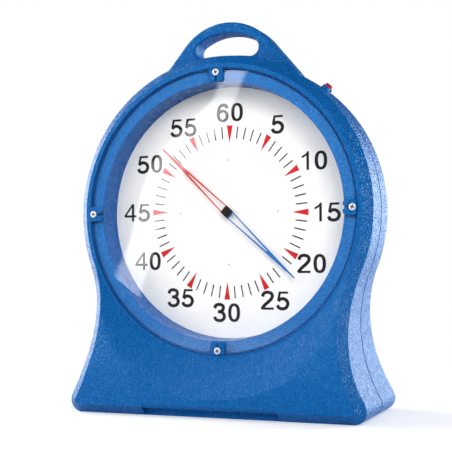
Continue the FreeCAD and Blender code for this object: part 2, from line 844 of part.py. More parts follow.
def hand_outline():
    half, bar, tip = size("hub_width") / 2, size("hand_bar"), size("hand_tip") / 2
    tongue, end, window = size("hand_tongue") / 2, size("hand_length"), size("hand_window")
    root = size("shaft_radius") + bar
    point = bar * 0.3
    return [
        ("line", (-tongue, root), (tongue, root)),
        ("line", (tongue, root), (tongue, half)),
        ("line", (tongue, half), (half, half)),
        ("line", (half, half), (tip, end)),
        ("line", (tip, end), (-tip, end)),
        ("line", (-tip, end), (-half, half)),
        ("line", (-half, half), (-tongue, half)),
        ("line", (-tongue, half), (-tongue, root)),
        ("line", (bar - half, half + bar), (half - bar, half + bar)),
        ("line", (half - bar, half + bar), (point, window)),
        ("line", (point, window), (-point, window)),
        ("line", (-point, window), (bar - half, half + bar)),
    ]


def hub_turn(extra=0.0):
    return FreeCAD.Rotation(V(0, 1, 0), size("hand_angle") + extra)


def square(half):
    return [("line", (-half, -half), (half, -half)), ("line", (half, -half), (half, half)),
            ("line", (half, half), (-half, half)), ("line", (-half, half), (-half, -half))]


def make_hands():
    for name, extra in (("red_hand", 0.0), ("blue_hand", 180.0)):
        body = new_body(name.title().replace("_", ""), turn=hub_turn(extra))
        pad(body, body.Name + "Blade", hand_outline(), HAND_FRONT, "hand_thickness")
        node(body, name)
    hub = new_body("HandHub", turn=hub_turn())
    half = size("hub_width") / 2
    pad(hub, "HubBlock", square(half), HUB_FRONT, "hub_thickness")
    bore = circle(0, 0, size("shaft_radius"), "shaft_radius")
    pocket(hub, "HubBore", [bore], HUB_FRONT + " + hub_front_wall",
           "hub_thickness - hub_front_wall")
    tongue = size("hand_tongue") / 2 + size("fit_gap")
    root = size("shaft_radius") + size("hand_bar") - size("fit_gap")
    for name, way in (("HubSlotRed", 1), ("HubSlotBlue", -1)):
        low, high = way * root, way * half
        slot = [("line", (-tongue, low), (tongue, low)), ("line", (tongue, low), (tongue, high)),
                ("line", (tongue, high), (-tongue, high)), ("line", (-tongue, high), (-tongue, low))]
        pocket(hub, name, slot, HAND_FRONT + " - fit_gap", "hand_thickness + 2 * fit_gap")
    node(hub, "hand_hub")


# Movement: planes of its pieces, as depths behind the rim plane

CASE_FRONT = "dial_depth + dial_thickness"
GEAR_FRONT = CASE_FRONT + " + case_wall + gear_gap"
WHEEL_FRONT = GEAR_FRONT + " + output_gear_width + gear_gap"
PLATE_FRONT = WHEEL_FRONT + " + idler_wheel_width + 2 * gear_gap"
PLATE_BACK = PLATE_FRONT + " + motor_plate_thickness"
CASE_BACK = CASE_FRONT + " + case_depth"
LID_BACK = CASE_BACK + " + case_lid_depth"


def gear_step():
    """Distance between the axes of a wheel and the pinion that drives it."""
    return size("gear_module") * (size("wheel_teeth") + size("pinion_teeth")) / 2


def idler_spot():
    return (0.0, -gear_step())


def motor_spot():
    return (gear_step(), -gear_step())


def case_centre():
    return (size("case_offset"), -size("case_drop"))


def post_spots():
    x, z = case_centre()
    half_x = size("case_width") / 2 - size("post_inset")
    half_z = size("case_height") / 2 - size("post_inset")
    return [(x + i * half_x, z + k * half_z) for i in (-1, 1) for k in (-1, 1)]


def case_plan(inset, corner):
    x, z = case_centre()
    return rounded_rectangle(x, z, size("case_width") - 2 * inset,
                             size("case_height") - 2 * inset, corner)


def make_movement_case():
    """Front half of the case: floor, walls, posts for the motor plate and threaded stem."""
    body = new_body("MovementCase")
    corner, wall = size("case_corner"), size("case_wall")
    pad(body, "CaseBlock", case_plan(0, corner), CASE_FRONT, "case_depth")
    pocket(body, "CaseRoom", case_plan(wall, corner - wall / 2), CASE_FRONT + " + case_wall",
           "case_depth - case_wall")
    posts = [circle(x, z, size("post_radius"), "post_radius") for x, z in post_spots()]
    pad(body, "CasePosts", posts, CASE_FRONT + " + case_wall",
        "(%s) - (%s) - case_wall" % (PLATE_FRONT, CASE_FRONT))
    pad(body, "CaseStem", [circle(0, 0, size("stem_radius"), "stem_radius")],
        "dial_depth - stem_rise", "stem_rise + dial_thickness + case_wall")
    bush = size("shaft_radius") + size("running_gap") + size("bush_wall") + size("fit_gap")
    pocket(body, "StemBore", [circle(0, 0, bush)], "dial_depth - stem_rise",
           "stem_rise + dial_thickness + case_wall")
    arbor = circle(*idler_spot(), size("arbor_radius"), "arbor_radius")
    pocket(body, "ArborSeat", [arbor], CASE_FRONT + " + case_wall / 3", "case_wall")
    holes = [circle(x, z, size("case_screw_radius"), "case_screw_radius")
             for x, z in post_spots()]
    pocket(body, "CaseThreads", holes,
           "(%s) + case_lid_depth - case_screw_length" % CASE_BACK, "case_screw_length")
    node(body, "movement_case")


def make_movement_cover():
    """Rear half of the case, whose hollow columns clamp the motor plate to the posts."""
    body = new_body("MovementCover")
    corner, wall = size("case_corner"), size("case_wall")
    pad(body, "LidBlock", case_plan(0, corner), CASE_BACK, "case_lid_depth")
    pocket(body, "LidRoom", case_plan(wall, corner - wall / 2), CASE_BACK,
           "case_lid_depth - case_wall")
    columns = [circle(x, z, size("post_radius"), "post_radius") for x, z in post_spots()]
    pad(body, "LidColumns", columns, PLATE_BACK, "(%s) - (%s) - case_wall" % (LID_BACK, PLATE_BACK))
    holes = [circle(x, z, size("case_screw_radius"), "case_screw_radius")
             for x, z in post_spots()]
    pocket(body, "LidHoles", holes, PLATE_BACK, "(%s) - (%s)" % (LID_BACK, PLATE_BACK))
    node(body, "movement_cover")
    screws = []
    for number, (x, z) in enumerate(post_spots()):
        screws.append(pan_screw("CaseScrew%d" % number, "case_screw_radius",
                                "case_screw_length", "case_screw_head", "case_screw_rise",
                                "%.9f" % x, LID_BACK, "%.9f" % z, FORWARD))
    node(group("CaseScrews", screws), "movement_screws")


def make_motor_plate():
    body = new_body("MotorPlate")
    gap = size("case_wall") + size("gear_gap")
    pad(body, "PlateBlank", case_plan(gap, size("case_corner") - size("case_wall") / 2),
        PLATE_FRONT, "motor_plate_thickness")
    journal = size("shaft_radius") + size("running_gap")
    boss = size("motor_boss_radius") + size("fit_gap")
    holes = [circle(0, 0, journal), circle(*idler_spot(), size("arbor_radius"), "arbor_radius"),
             circle(*motor_spot(), boss)]
    holes += [circle(x, z, size("case_screw_radius"), "case_screw_radius")
              for x, z in post_spots()]
    pocket(body, "PlateHoles", holes, PLATE_FRONT, "motor_plate_thickness")
    node(body, "motor_plate")


def ring(name, outer, inner, length, x="0", y="0", z="0"):
    """Plain sleeve or washer along the dial axis."""
    whole = cylinder(name + "Outer", outer, length, x, y, z)
    bore = cylinder(name + "Bore", inner, "2 * (%s)" % length, x,
                    "(%s) - (%s) / 2" % (y, length), z)
    return cut(name, whole, bore)


def make_stem_pieces():
    bore = "shaft_radius + running_gap"
    node(ring("ShaftBush", bore + " + bush_wall", bore,
              "stem_rise + dial_thickness + case_wall", y="dial_depth - stem_rise"), "shaft_bush")
    node(ring("StemWasher", "washer_radius", "stem_radius + fit_gap", "washer_thickness",
              y="dial_depth - washer_thickness"), "stem_washer")
    nut_y = "dial_depth - washer_thickness - nut_thickness"
    blank = prism("NutBlank", 6, "nut_radius", "nut_thickness", y=nut_y)
    hole = cylinder("NutThread", "stem_radius + fit_gap", "2 * nut_thickness",
                    y=nut_y + " - nut_thickness / 2")
    node(cut("StemNut", blank, hole), "stem_nut")


def gear_face(teeth, phase, bore):
    """Toothed outline in the XY plane; a tooth is centred at the phase, in turns."""
    module = size("gear_module")
    pitch = module * teeth / 2
    base = pitch * math.cos(math.radians(20))
    involute = math.tan(math.radians(20)) - math.radians(20)
    half_pitch = math.pi / (2 * teeth) - size("backlash") / (4 * pitch)
    root, tip = pitch - 1.25 * module, pitch + module

    def half_angle(radius):
        pressure = math.acos(min(1.0, base / radius))
        return half_pitch + involute - (math.tan(pressure) - pressure)

    levels = [(root, half_angle(max(root, base))), (pitch, half_pitch), (tip, half_angle(tip))]
    points = []
    for tooth in range(int(teeth)):
        centre = 2 * math.pi * (phase + tooth / teeth)
        rising = [(radius, centre - half) for radius, half in levels]
        falling = [(radius, centre + half) for radius, half in reversed(levels)]
        points += [V(r * math.cos(a), r * math.sin(a), 0) for r, a in rising + falling]
    wires = [Part.makePolygon(points + [points[0]]), Part.Wire(Part.makeCircle(bore))]
    return Part.makeFace(wires, "Part::FaceMakerBullseye")


def gear_solid(teeth, phase, bore, width, lift=0.0):
    """Gear that runs backwards from a depth, in a frame that looks at the dial."""
    solid = gear_face(teeth, phase, bore).extrude(V(0, 0, -width))
    solid.translate(V(0, 0, -lift))
    return solid


def sum_of(*words):
    return sum(size(word) for word in words)


def make_gears():
    """Two-stage train: each wheel has a tooth, and its pinion a gap, on their line of centres."""
    wheel, pinion = size("wheel_teeth"), size("pinion_teeth")
    gap = size("gear_gap")
    case_inside = sum_of("dial_depth", "dial_thickness", "case_wall")
    gear_y = case_inside + gap
    wheel_y = gear_y + size("output_gear_width") + gap
    half_tooth = 0.5 / pinion

    output = doc.addObject("Part::Feature", "OutputGear")
    output.Shape = gear_solid(wheel, -0.25, size("shaft_radius"), size("output_gear_width"))
    output.Placement = home(0, gear_y, 0, FACE_ON)
    node(output, "output_gear")

    bore = size("arbor_radius") + size("running_gap")
    idler = doc.addObject("Part::Feature", "IdlerGear")
    small = gear_solid(pinion, 0.25 + half_tooth, bore, size("output_gear_width") + gap)
    large = gear_solid(wheel, 0.0, bore, size("idler_wheel_width"),
                       size("output_gear_width") + gap)
    idler.Shape = small.fuse(large)
    idler.Placement = home(idler_spot()[0], gear_y, idler_spot()[1], FACE_ON)
    node(idler, "idler_gear")

    shaft = size("motor_shaft_radius")
    spindle = size("motor_length") / 2
    driver = doc.addObject("Part::Feature", "MotorPinion")
    teeth = gear_solid(pinion, 0.5 + half_tooth, shaft, size("idler_wheel_width"))
    reach = size("idler_wheel_width") + 2 * gap + size("motor_plate_thickness") + spindle
    rod = Part.makeCylinder(shaft, reach, V(0, 0, 0), V(0, 0, -1))
    driver.Shape = teeth.fuse(rod)
    driver.Placement = home(motor_spot()[0], wheel_y, motor_spot()[1], FACE_ON)
    node(driver, "motor_pinion")


def make_shafts():
    hub_inside = HUB_FRONT + " + hub_front_wall"
    node(cylinder("OutputShaft", "shaft_radius", "(%s) - (%s)" % (PLATE_BACK, hub_inside),
                  y=hub_inside), "output_shaft")
    x, z = ("%.9f" % value for value in idler_spot())
    node(cylinder("IdlerArbor", "arbor_radius", "(%s) - (%s) - case_wall / 3"
                  % (PLATE_BACK, CASE_FRONT), x, CASE_FRONT + " + case_wall / 3", z),
         "idler_arbor")


def make_motor():
    x, z = ("%.9f" % value for value in motor_spot())
    can = cylinder("MotorCan", "motor_radius", "motor_length", x, PLATE_BACK, z)
    boss = cylinder("MotorBoss", "motor_boss_radius", "motor_boss_rise", x,
                    PLATE_BACK + " - motor_boss_rise", z)
    bore = cylinder("MotorBore", "motor_shaft_radius + running_gap",
                    "motor_length / 2 + 2 * motor_boss_rise + running_gap", x,
                    PLATE_BACK + " - 2 * motor_boss_rise", z)
    node(cut("Motor", fuse("MotorBody", can, boss), bore), "motor")


# Battery in a tray on the back of the bowl, above the movement

TRAY_BACK = "dial_depth + dial_thickness + wall"
CELL_AXIS = TRAY_BACK + " + holder_wall + battery_gap + battery_radius"
TRAY_HEIGHT = "holder_wall + battery_gap + battery_radius + holder_grip"
CELL_ROOM = "(battery_length + battery_nub_rise + contact_spring + 2 * contact_thickness)"


def make_battery_holder():
    whole = "%s + 2 * holder_wall" % CELL_ROOM
    block_item = block("TrayBlock", whole, TRAY_HEIGHT, "2 * " + TRAY_HALF,
                       "-(%s) / 2" % whole, TRAY_BACK, "battery_rise - " + TRAY_HALF)
    ears = block("TrayEars", "ear_width", "holder_wall", "2 * (%s + ear_length)" % TRAY_HALF,
                 "-ear_width / 2", TRAY_BACK, "battery_rise - %s - ear_length" % TRAY_HALF)
    channel = cylinder("TrayChannel", "battery_radius + battery_gap", CELL_ROOM,
                       "-%s / 2" % CELL_ROOM, CELL_AXIS, "battery_rise", RIGHTWARD)
    screws, holes = [], []
    for number, z in enumerate(ear_points()):
        holes.append(cylinder("EarHole%d" % number, "ear_screw_radius", "3 * holder_wall",
                              y="(%s) - holder_wall" % TRAY_BACK, z=z))
        screws.append(pan_screw("EarScrew%d" % number, "ear_screw_radius",
                                "ear_screw_length", "ear_screw_head", "ear_screw_rise",
                                "0", TRAY_BACK + " + holder_wall", z, FORWARD))
    tray = cut("Tray", fuse("TrayWhole", block_item, ears), group("TrayCuts", [channel] + holes))
    node(tray, "battery_holder")
    node(group("EarScrews", screws), "holder_screws")


def make_battery():
    bottom = "-%s / 2 + contact_thickness + contact_spring" % CELL_ROOM
    can = cylinder("CellCan", "battery_radius", "battery_length", bottom, CELL_AXIS,
                   "battery_rise", RIGHTWARD)
    nub = cylinder("CellNub", "battery_nub_radius", "battery_nub_rise",
                   bottom + " + battery_length", CELL_AXIS, "battery_rise", RIGHTWARD)
    node(fuse("Cell", can, nub), "battery_cell")


def contact_plate(name, x):
    """Upright strip in the end of the tray, with a tag above it."""
    return block(name, "contact_thickness", "battery_nub_radius + holder_grip + contact_reach",
                 "contact_width", x, "%s - battery_nub_radius" % CELL_AXIS,
                 "battery_rise - contact_width / 2")


def make_contacts():
    node(contact_plate("ContactPlus", "%s / 2 - contact_thickness" % CELL_ROOM),
         "battery_contact_positive")
    left = "-%s / 2" % CELL_ROOM
    plate = contact_plate("ContactMinusPlate", left)
    spring = cone("ContactMinusDome", "battery_nub_radius", "battery_nub_radius / 2",
                  "contact_spring", left + " + contact_thickness", CELL_AXIS, "battery_rise",
                  RIGHTWARD)
    node(fuse("ContactMinus", plate, spring), "battery_contact_negative")


# Service cover on the back

COVER_SEAT = "head_depth + cover_seal_thickness"


def cover_plan(grow):
    return rounded_rectangle(0.0, size("service_rise"), size("service_width") + 2 * grow,
                             size("service_height") + 2 * grow, size("service_corner") + grow)


def make_rear_cover():
    margin = size("cover_margin")
    holes = cover_screw_spots()
    seal = new_body("CoverSeal")
    pad(seal, "CoverSealFrame", cover_plan(margin) + cover_plan(0.0), "head_depth",
        "cover_seal_thickness")
    pocket(seal, "CoverSealHoles", holes, "head_depth", "cover_seal_thickness")
    node(seal, "rear_cover_seal")

    cover = new_body("RearCover")
    pad(cover, "CoverPlate", cover_plan(margin), COVER_SEAT, "cover_thickness")
    gap, wall = size("cover_rib_gap"), size("cover_rib")
    pad(cover, "CoverRib", cover_plan(-gap) + cover_plan(-gap - wall),
        COVER_SEAT + " - cover_seal_thickness - cover_rib_depth",
        "cover_seal_thickness + cover_rib_depth")
    pocket(cover, "CoverHoles", holes, COVER_SEAT, "cover_thickness")
    node(cover, "rear_cover")

    screws = [pan_screw("CoverScrew%d" % number, "cover_screw_radius", "cover_screw_length",
                        "cover_screw_head", "cover_screw_rise", x,
                        COVER_SEAT + " + cover_thickness", z, FORWARD)
              for number, (x, z) in enumerate(cover_points())]
    node(group("CoverScrews", screws), "rear_cover_screws")


def cover_screw_spots():
    """The same screw positions as circles for a sketch."""
    half_x = size("service_width") / 2 + size("cover_margin") - size("cover_screw_inset")
    half_z = size("service_height") / 2 + size("cover_margin") - size("cover_screw_inset")
    return [circle(i * half_x, size("service_rise") + k * half_z, size("cover_screw_radius"),
                   "cover_screw_radius") for i, k in COVER_SIDES]


# Start and stop button; distances run along its axis from the dial centre

COLLAR_TOP = BUTTON_SEAT + " + collar_height"
CAP_FOOT = COLLAR_TOP + " - cap_sink"
BARREL_TOP = CAP_FOOT + " - cap_travel - cap_clearance"
BARREL_END = BARREL_TOP + " - barrel_length"


def tapered_hexagon(name, radius, height, **spot):
    """Hexagonal prism that narrows towards its outer end."""
    wire = on_button(hexagon, name + "Outline", radius, **spot)
    item = doc.addObject("Part::Extrusion", name)
    item.Base = wire
    item.DirMode = "Normal"
    item.Solid = True
    bind(item, LengthFwd=height, TaperAngle="-collar_taper")
    return item


def hexagon(name, radius, x, y, z, turn):
    item = doc.addObject("Part::RegularPolygon", name)
    item.Polygon = 6
    bind(item, Circumradius=radius)
    return place(item, x, y, z, turn)


def hexagonal(name, radius, height, **spot):
    return prism(name, 6, radius, height, **spot)


def square_block(name, width, height, x, y, z, turn):
    """Block centred on the button's axis."""
    aligned = turn.multiply(FreeCAD.Rotation(V(0, 0, 1), 45))
    return prism(name, 4, "(%s) / sqrt(2)" % width, height, x, y, z, aligned)


def make_button():
    hexed = tapered_hexagon("CollarHexagon", "collar_radius", "collar_height",
                            distance=BUTTON_SEAT)
    well = on_button(cylinder, "CollarWell", "cap_radius + running_gap", "2 * collar_height",
                     distance=BARREL_TOP)
    bore = on_button(cylinder, "CollarBore", "barrel_radius + fit_gap", "2 * collar_height",
                     distance=BUTTON_SEAT + " - collar_height")
    node(cut("Collar", hexed, fuse("CollarCuts", well, bore)), "button_collar")

    head = on_button(cylinder, "CapHead", "cap_radius", "cap_height", distance=CAP_FOOT)
    doc.recompute()
    crown = round_edges("CapCrown", head, size("cap_radius") * 0.2,
                        lambda edge: far_end(head, edge), "Part::Chamfer")
    pin = on_button(cylinder, "CapPin", "pin_radius", "(%s) - (%s) - cap_travel - cap_clearance"
                    % (CAP_FOOT, BARREL_END), distance=BARREL_END + " + cap_travel + cap_clearance")
    node(fuse("Cap", crown, pin), "button_cap")

    tube = on_button(cylinder, "BarrelTube", "barrel_radius", "barrel_length",
                     distance=BARREL_END)
    hollow = on_button(cylinder, "BarrelBore", "pin_radius + running_gap", "2 * barrel_length",
                       distance=BARREL_END + " - barrel_length / 2")
    node(cut("Barrel", tube, hollow), "button_barrel")

    nut_foot = "head_radius - wall - barrel_nut_relief - barrel_nut_thickness"
    nut = on_button(hexagonal, "BarrelNutBlank", "barrel_nut_radius", "barrel_nut_thickness",
                    distance=nut_foot)
    thread = on_button(cylinder, "BarrelNutThread", "barrel_radius + fit_gap",
                       "3 * barrel_nut_thickness", distance=nut_foot + " - barrel_nut_thickness")
    node(cut("BarrelNut", nut, thread), "button_nut")
    node(on_button(square_block, "Switch", "switch_width", "switch_length",
                   distance=BARREL_END + " - switch_length"), "button_switch")


def far_end(item, edge):
    """True for the round edge farthest from the dial centre."""
    centre = V(0, 0, size("dial_height"))
    if not hasattr(edge.Curve, "Radius"):
        return False
    return (edge.Curve.Center - centre).Length > (item.Shape.CenterOfMass - centre).Length


# Leads inside the housing

def tube(name, points, radius):
    """Tube along straight runs joined by tangent arcs, as large as the runs allow."""
    points = [V(*point) for point in points]
    edges, radii = [], []
    start = points[0]
    for before, corner, after in zip(points, points[1:], points[2:]):
        setback = 0.45 * min((before - corner).Length, (after - corner).Length)
        inward = (before - corner).normalize()
        outward = (after - corner).normalize()
        half_turn = (math.pi - inward.getAngle(outward)) / 2
        bend = setback / math.tan(half_turn)
        middle = corner + (inward + outward).normalize() * (bend / math.cos(half_turn) - bend)
        first, last = corner + inward * setback, corner + outward * setback
        edges.append(Part.LineSegment(start, first).toShape())
        edges.append(Part.Arc(first, middle, last).toShape())
        radii.append(round(bend, 1))
        start = last
    edges.append(Part.LineSegment(start, points[-1]).toShape())
    path = Part.Wire(edges)
    section = Part.Wire(Part.makeCircle(radius, points[0], points[1] - points[0]))
    solid = path.makePipeShell([section], True, True)
    print(name, "bend radii", radii, "length", round(path.Length, 1), "volume over section",
          round(solid.Volume / (math.pi * radius ** 2 * path.Length), 4))
    item = doc.addObject("Part::Feature", name)
    item.Shape = solid
    item.Placement = home()
    return item


def make_leads():
    """Leads to the movement case; points between their ends are shares of their reach."""
    radius = size("lead_radius")
    behind = sum_of("dial_depth", "dial_thickness", "case_depth", "lead_rise")
    left_wall = case_centre()[0] - size("case_width") / 2
    right_wall = case_centre()[0] + size("case_width") / 2
    room = sum_of("battery_length", "battery_nub_rise", "contact_spring",
                  "contact_thickness", "contact_thickness")
    tray_end, top = -room / 2 - size("holder_wall"), size("battery_rise")
    entry = size("case_corner")
    drop = top - entry
    node(tube("BatteryLead", [
        (tray_end, behind, top), (tray_end - 0.26 * drop, behind, top),
        (tray_end - 0.44 * drop, behind, entry + 0.55 * drop),
        (tray_end - 0.25 * drop, behind, entry), (left_wall, behind, entry)], radius),
        "battery_lead")

    end = (size("head_radius") - size("button_flat") + size("collar_height") - size("cap_sink")
           - size("cap_travel") - size("cap_clearance") - size("barrel_length")
           - size("switch_length"))
    level = size("button_depth") + size("lead_offset")
    axis = math.radians(size("button_angle"))
    reach_x, reach_z = end * math.sin(axis) - right_wall, end * math.cos(axis) - entry
    shares = [(1, 0, 1), (0.58, 0.4, 0.63), (0.49, 0.8, 0.39), (0.37, 1, 0.17), (0.21, 1, 0),
              (0, 1, 0)]
    points = [(right_wall + across * reach_x, level + back * (behind - level),
               entry + up * reach_z) for across, back, up in shares]
    points.insert(1, (end * 6 / 7 * math.sin(axis), level, end * 6 / 7 * math.cos(axis)))
    node(tube("ButtonLead", points, radius), "button_lead")


for make in (make_housing, make_lens, make_lens_clips, make_dial, make_hands,
             make_movement_case, make_movement_cover, make_motor_plate, make_stem_pieces,
             make_gears, make_shafts, make_motor, make_battery_holder, make_battery,
             make_contacts, make_rear_cover, make_button, make_leads):
    make()
doc.recompute()
for item in doc.Objects:
    if "Invalid" in item.State or "Error" in item.State:
        raise ValueError("%s is %s" % (item.Label, item.State))
for item in nodes:
    if item.Shape.isNull() or not item.Shape.isValid():
        raise ValueError("%s has no valid shape" % item.Label)

os.makedirs("parts", exist_ok=True)
for item in nodes:
    item.Shape.exportStep("parts/%s.step" % item.Label)
    print(item.Label, len(item.Shape.Solids), round(item.Shape.Volume, 1))
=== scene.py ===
import json
import math

import bmesh
import bpy
from mathutils import Matrix, Vector


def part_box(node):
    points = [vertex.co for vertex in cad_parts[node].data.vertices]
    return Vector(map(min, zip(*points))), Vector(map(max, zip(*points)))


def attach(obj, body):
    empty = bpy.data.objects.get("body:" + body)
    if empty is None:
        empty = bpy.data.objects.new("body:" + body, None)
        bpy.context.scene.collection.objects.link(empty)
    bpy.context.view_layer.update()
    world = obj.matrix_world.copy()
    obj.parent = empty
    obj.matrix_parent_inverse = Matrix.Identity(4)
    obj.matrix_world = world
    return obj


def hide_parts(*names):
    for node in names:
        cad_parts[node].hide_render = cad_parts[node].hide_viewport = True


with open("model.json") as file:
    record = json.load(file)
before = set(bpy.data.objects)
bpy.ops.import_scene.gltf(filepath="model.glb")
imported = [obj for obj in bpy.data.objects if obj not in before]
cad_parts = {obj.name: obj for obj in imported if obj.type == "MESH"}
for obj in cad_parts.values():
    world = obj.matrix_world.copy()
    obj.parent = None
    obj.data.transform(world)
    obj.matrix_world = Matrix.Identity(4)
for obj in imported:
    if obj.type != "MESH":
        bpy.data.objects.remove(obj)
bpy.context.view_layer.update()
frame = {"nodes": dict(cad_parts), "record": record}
nodes = frame["nodes"]
MM = 0.001

# Place, in millimetres, of the CAD's own origin: the dial's centre in the plane of the rim
RIM_Y = -77
AXIS_HEIGHT = 405

# Planes and radii that the pieces share, read from the CAD nodes
dial_low, dial_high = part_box("dial")
AXIS_Z = (dial_low.z + dial_high.z) / 2
DIAL_FACE = dial_low.y
DIAL_RADIUS = (dial_high.x - dial_low.x) / 2


# Camera

def aim(item, place, turn_z, lift, roll=0.0):
    """Set an item at a place, looking at an angle from the dial's axis and above the horizon."""
    ahead = Vector((-math.sin(turn_z) * math.cos(lift), math.cos(turn_z) * math.cos(lift),
                    math.sin(lift)))
    right = ahead.cross(Vector((0, 0, 1))).normalized()
    up = right.cross(ahead)
    spin = Matrix.Rotation(roll, 3, ahead)
    right, up = spin @ right, spin @ up
    item.matrix_world = Matrix.Translation(place) @ Matrix(
        (right, up, -ahead)).transposed().to_4x4()


# Fitted to the outline, the lens seat and the clip screws in the photo; angles in radians
CAMERA_PLACE = Vector((787.85, -1986.4, 289.6)) * MM
CAMERA_TURN, CAMERA_LIFT, CAMERA_ROLL = 0.3827, 0.0411, 0.0068

camera = bpy.data.objects.new("camera", bpy.data.cameras.new("camera"))
bpy.context.scene.collection.objects.link(camera)
camera.data.lens = 82.70
camera.data.sensor_width = 36
aim(camera, CAMERA_PLACE, CAMERA_TURN, CAMERA_LIFT, CAMERA_ROLL)
bpy.context.scene.camera = camera


# Leads inside the housing

LEAD_DIAMETER = 2.4 * MM


def make_lead(name, route):
    """Two-core lead along its route, which is in millimetres from the CAD's own origin."""
    curve = bpy.data.curves.new(name, "CURVE")
    curve.dimensions = "3D"
    curve.bevel_depth = 1.0          # the points' radius alone gives the lead its thickness
    curve.bevel_resolution = 6
    curve.resolution_u = 16
    curve.use_fill_caps = True
    spline = curve.splines.new("NURBS")
    spline.points.add(len(route) - 1)
    places = [Vector((x, y + RIM_Y, z + AXIS_HEIGHT)) * MM for x, y, z in route]
    for target, place in zip(spline.points, places):
        target.co = (*place, 1)
        target.radius = LEAD_DIAMETER / 2
    spline.order_u = 3
    spline.use_endpoint_u = True
    lead = bpy.data.objects.new(name + "_flex", curve)
    bpy.context.scene.collection.objects.link(lead)
    bpy.context.view_layer.update()
    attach(lead, "clock")
    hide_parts(name)
    return lead


leads = [
    make_lead("battery_lead", [(-35, 93, 106), (-61.26, 93, 106), (-79.44, 93, 60.55),
                               (-60.25, 93, 5), (-28, 93, 5)]),
    make_lead("button_lead", [(183.30, 75, 210.87), (157.12, 75, 180.74), (125.63, 82.2, 134.70),
                              (113.28, 89.4, 85.29), (96.80, 93, 40.0), (74.83, 93, 5),
                              (46, 93, 5)]),
]


# Meshes

SAME_CORNER = 1e-7               # corners of made meshes nearer than this are one
SAME_CAD_CORNER = 1e-6           # and of the CAD's meshes


def new_piece(name, mesh, material, body, smooth_angle=None):
    """Object of the part that rides on a CAD body; edges under the angle are shaded smooth."""
    piece = bpy.data.objects.new(name, mesh)
    bpy.context.scene.collection.objects.link(piece)
    mesh.materials.append(material)
    if smooth_angle:
        soften(mesh, smooth_angle)
    bpy.context.view_layer.update()
    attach(piece, body)
    return piece


def soften(mesh, degrees):
    """Smooth shading, with edges sharper than the angle kept."""
    mesh.shade_smooth()
    mesh.set_sharp_from_angle(angle=math.radians(degrees))


def prism(outlines, thickness):
    """Flat solid from closed outlines in XY; outlines after the first are holes."""
    curve = bpy.data.curves.new("outline", "CURVE")
    curve.dimensions = "2D"
    curve.fill_mode = "BOTH"
    curve.extrude = thickness / 2
    for points in outlines:
        spline = curve.splines.new("POLY")
        spline.points.add(len(points) - 1)
        for target, (x, y) in zip(spline.points, points):
            target.co = (x, y, 0, 1)
        spline.use_cyclic_u = True
    holder = bpy.data.objects.new("outline", curve)
    mesh = bpy.data.meshes.new_from_object(holder)
    bpy.data.objects.remove(holder)
    bpy.data.curves.remove(curve)
    return welded(mesh)


def welded(mesh):
    """The mesh with its doubled corners merged and its face normals turned outward."""
    work = bmesh.new()
    work.from_mesh(mesh)
    bmesh.ops.remove_doubles(work, verts=work.verts, dist=SAME_CORNER)
    bmesh.ops.recalc_face_normals(work, faces=work.faces)
    work.to_mesh(mesh)
    work.free()
    return mesh


def joined(placed):
    """One mesh from (mesh, matrix) pairs."""
    work = bmesh.new()
    for mesh, matrix in placed:
        copy = mesh.copy()
        copy.transform(matrix)
        work.from_mesh(copy)
        bpy.data.meshes.remove(copy)
    mesh = bpy.data.meshes.new("joined")
    work.to_mesh(mesh)
    work.free()
    return mesh


def combined(meshes, operation="UNION"):
    """Boolean union of overlapping solids, or the first one less the others."""
    first = bpy.data.objects.new("first", meshes[0])
    bpy.context.scene.collection.objects.link(first)
    others = []
    for mesh in meshes[1:]:
        other = bpy.data.objects.new("other", mesh)
        bpy.context.scene.collection.objects.link(other)
        modifier = first.modifiers.new("combine", "BOOLEAN")
        modifier.operation, modifier.solver, modifier.object = operation, "EXACT", other
        others.append(other)
    graph = bpy.context.evaluated_depsgraph_get()
    mesh = bpy.data.meshes.new_from_object(first.evaluated_get(graph))
    for item in [first] + others:
        bpy.data.objects.remove(item)
    return welded(mesh)


def turned(profile, steps=40):
    """Solid of revolution about local Z from (radius, height) points, both ends on the axis."""
    work = bmesh.new()
    rings = []
    for radius, height in profile:
        if radius < 1e-9:
            rings.append([work.verts.new((0, 0, height))])
        else:
            rings.append([work.verts.new((radius * math.cos(2 * math.pi * step / steps),
                                          radius * math.sin(2 * math.pi * step / steps), height))
                          for step in range(steps)])
    for above, below in zip(rings, rings[1:]):
        for step in range(steps):
            following = (step + 1) % steps
            corners = [above[step % len(above)], above[following % len(above)],
                       below[following % len(below)], below[step % len(below)]]
            work.faces.new(list(dict.fromkeys(corners)))
    bmesh.ops.recalc_face_normals(work, faces=work.faces)
    mesh = bpy.data.meshes.new("turned")
    work.to_mesh(mesh)
    work.free()
    return mesh


def block(low, high, taper=1.0):
    """Box whose lower face is narrower by the taper."""
    mesh = bpy.data.meshes.new("block")
    corners = [(x * (taper if z == low[2] else 1), y * (taper if z == low[2] else 1), z)
               for z in (low[2], high[2]) for y in (low[1], high[1]) for x in (low[0], high[0])]
    mesh.from_pydata(corners, [], [(0, 2, 3, 1), (4, 5, 7, 6), (0, 1, 5, 4), (2, 6, 7, 3),
                                   (0, 4, 6, 2), (1, 3, 7, 5)])
    return welded(mesh)


def solids_of(node):
    """Corner points of each separate solid of a CAD node."""
    work = bmesh.new()
    work.from_mesh(nodes[node].data)
    bmesh.ops.remove_doubles(work, verts=work.verts, dist=SAME_CAD_CORNER)
    seen, groups = set(), []
    for start in work.verts:
        if start in seen:
            continue
        seen.add(start)
        group, waiting = [], [start]
        while waiting:
            corner = waiting.pop()
            group.append(corner.co.copy())
            for edge in corner.link_edges:
                other = edge.other_vert(corner)
                if other not in seen:
                    seen.add(other)
                    waiting.append(other)
        groups.append(group)
    work.free()
    return groups


# Dial print: numerals drawn at a height of 1

STROKE = 0.176                   # width of the pen line


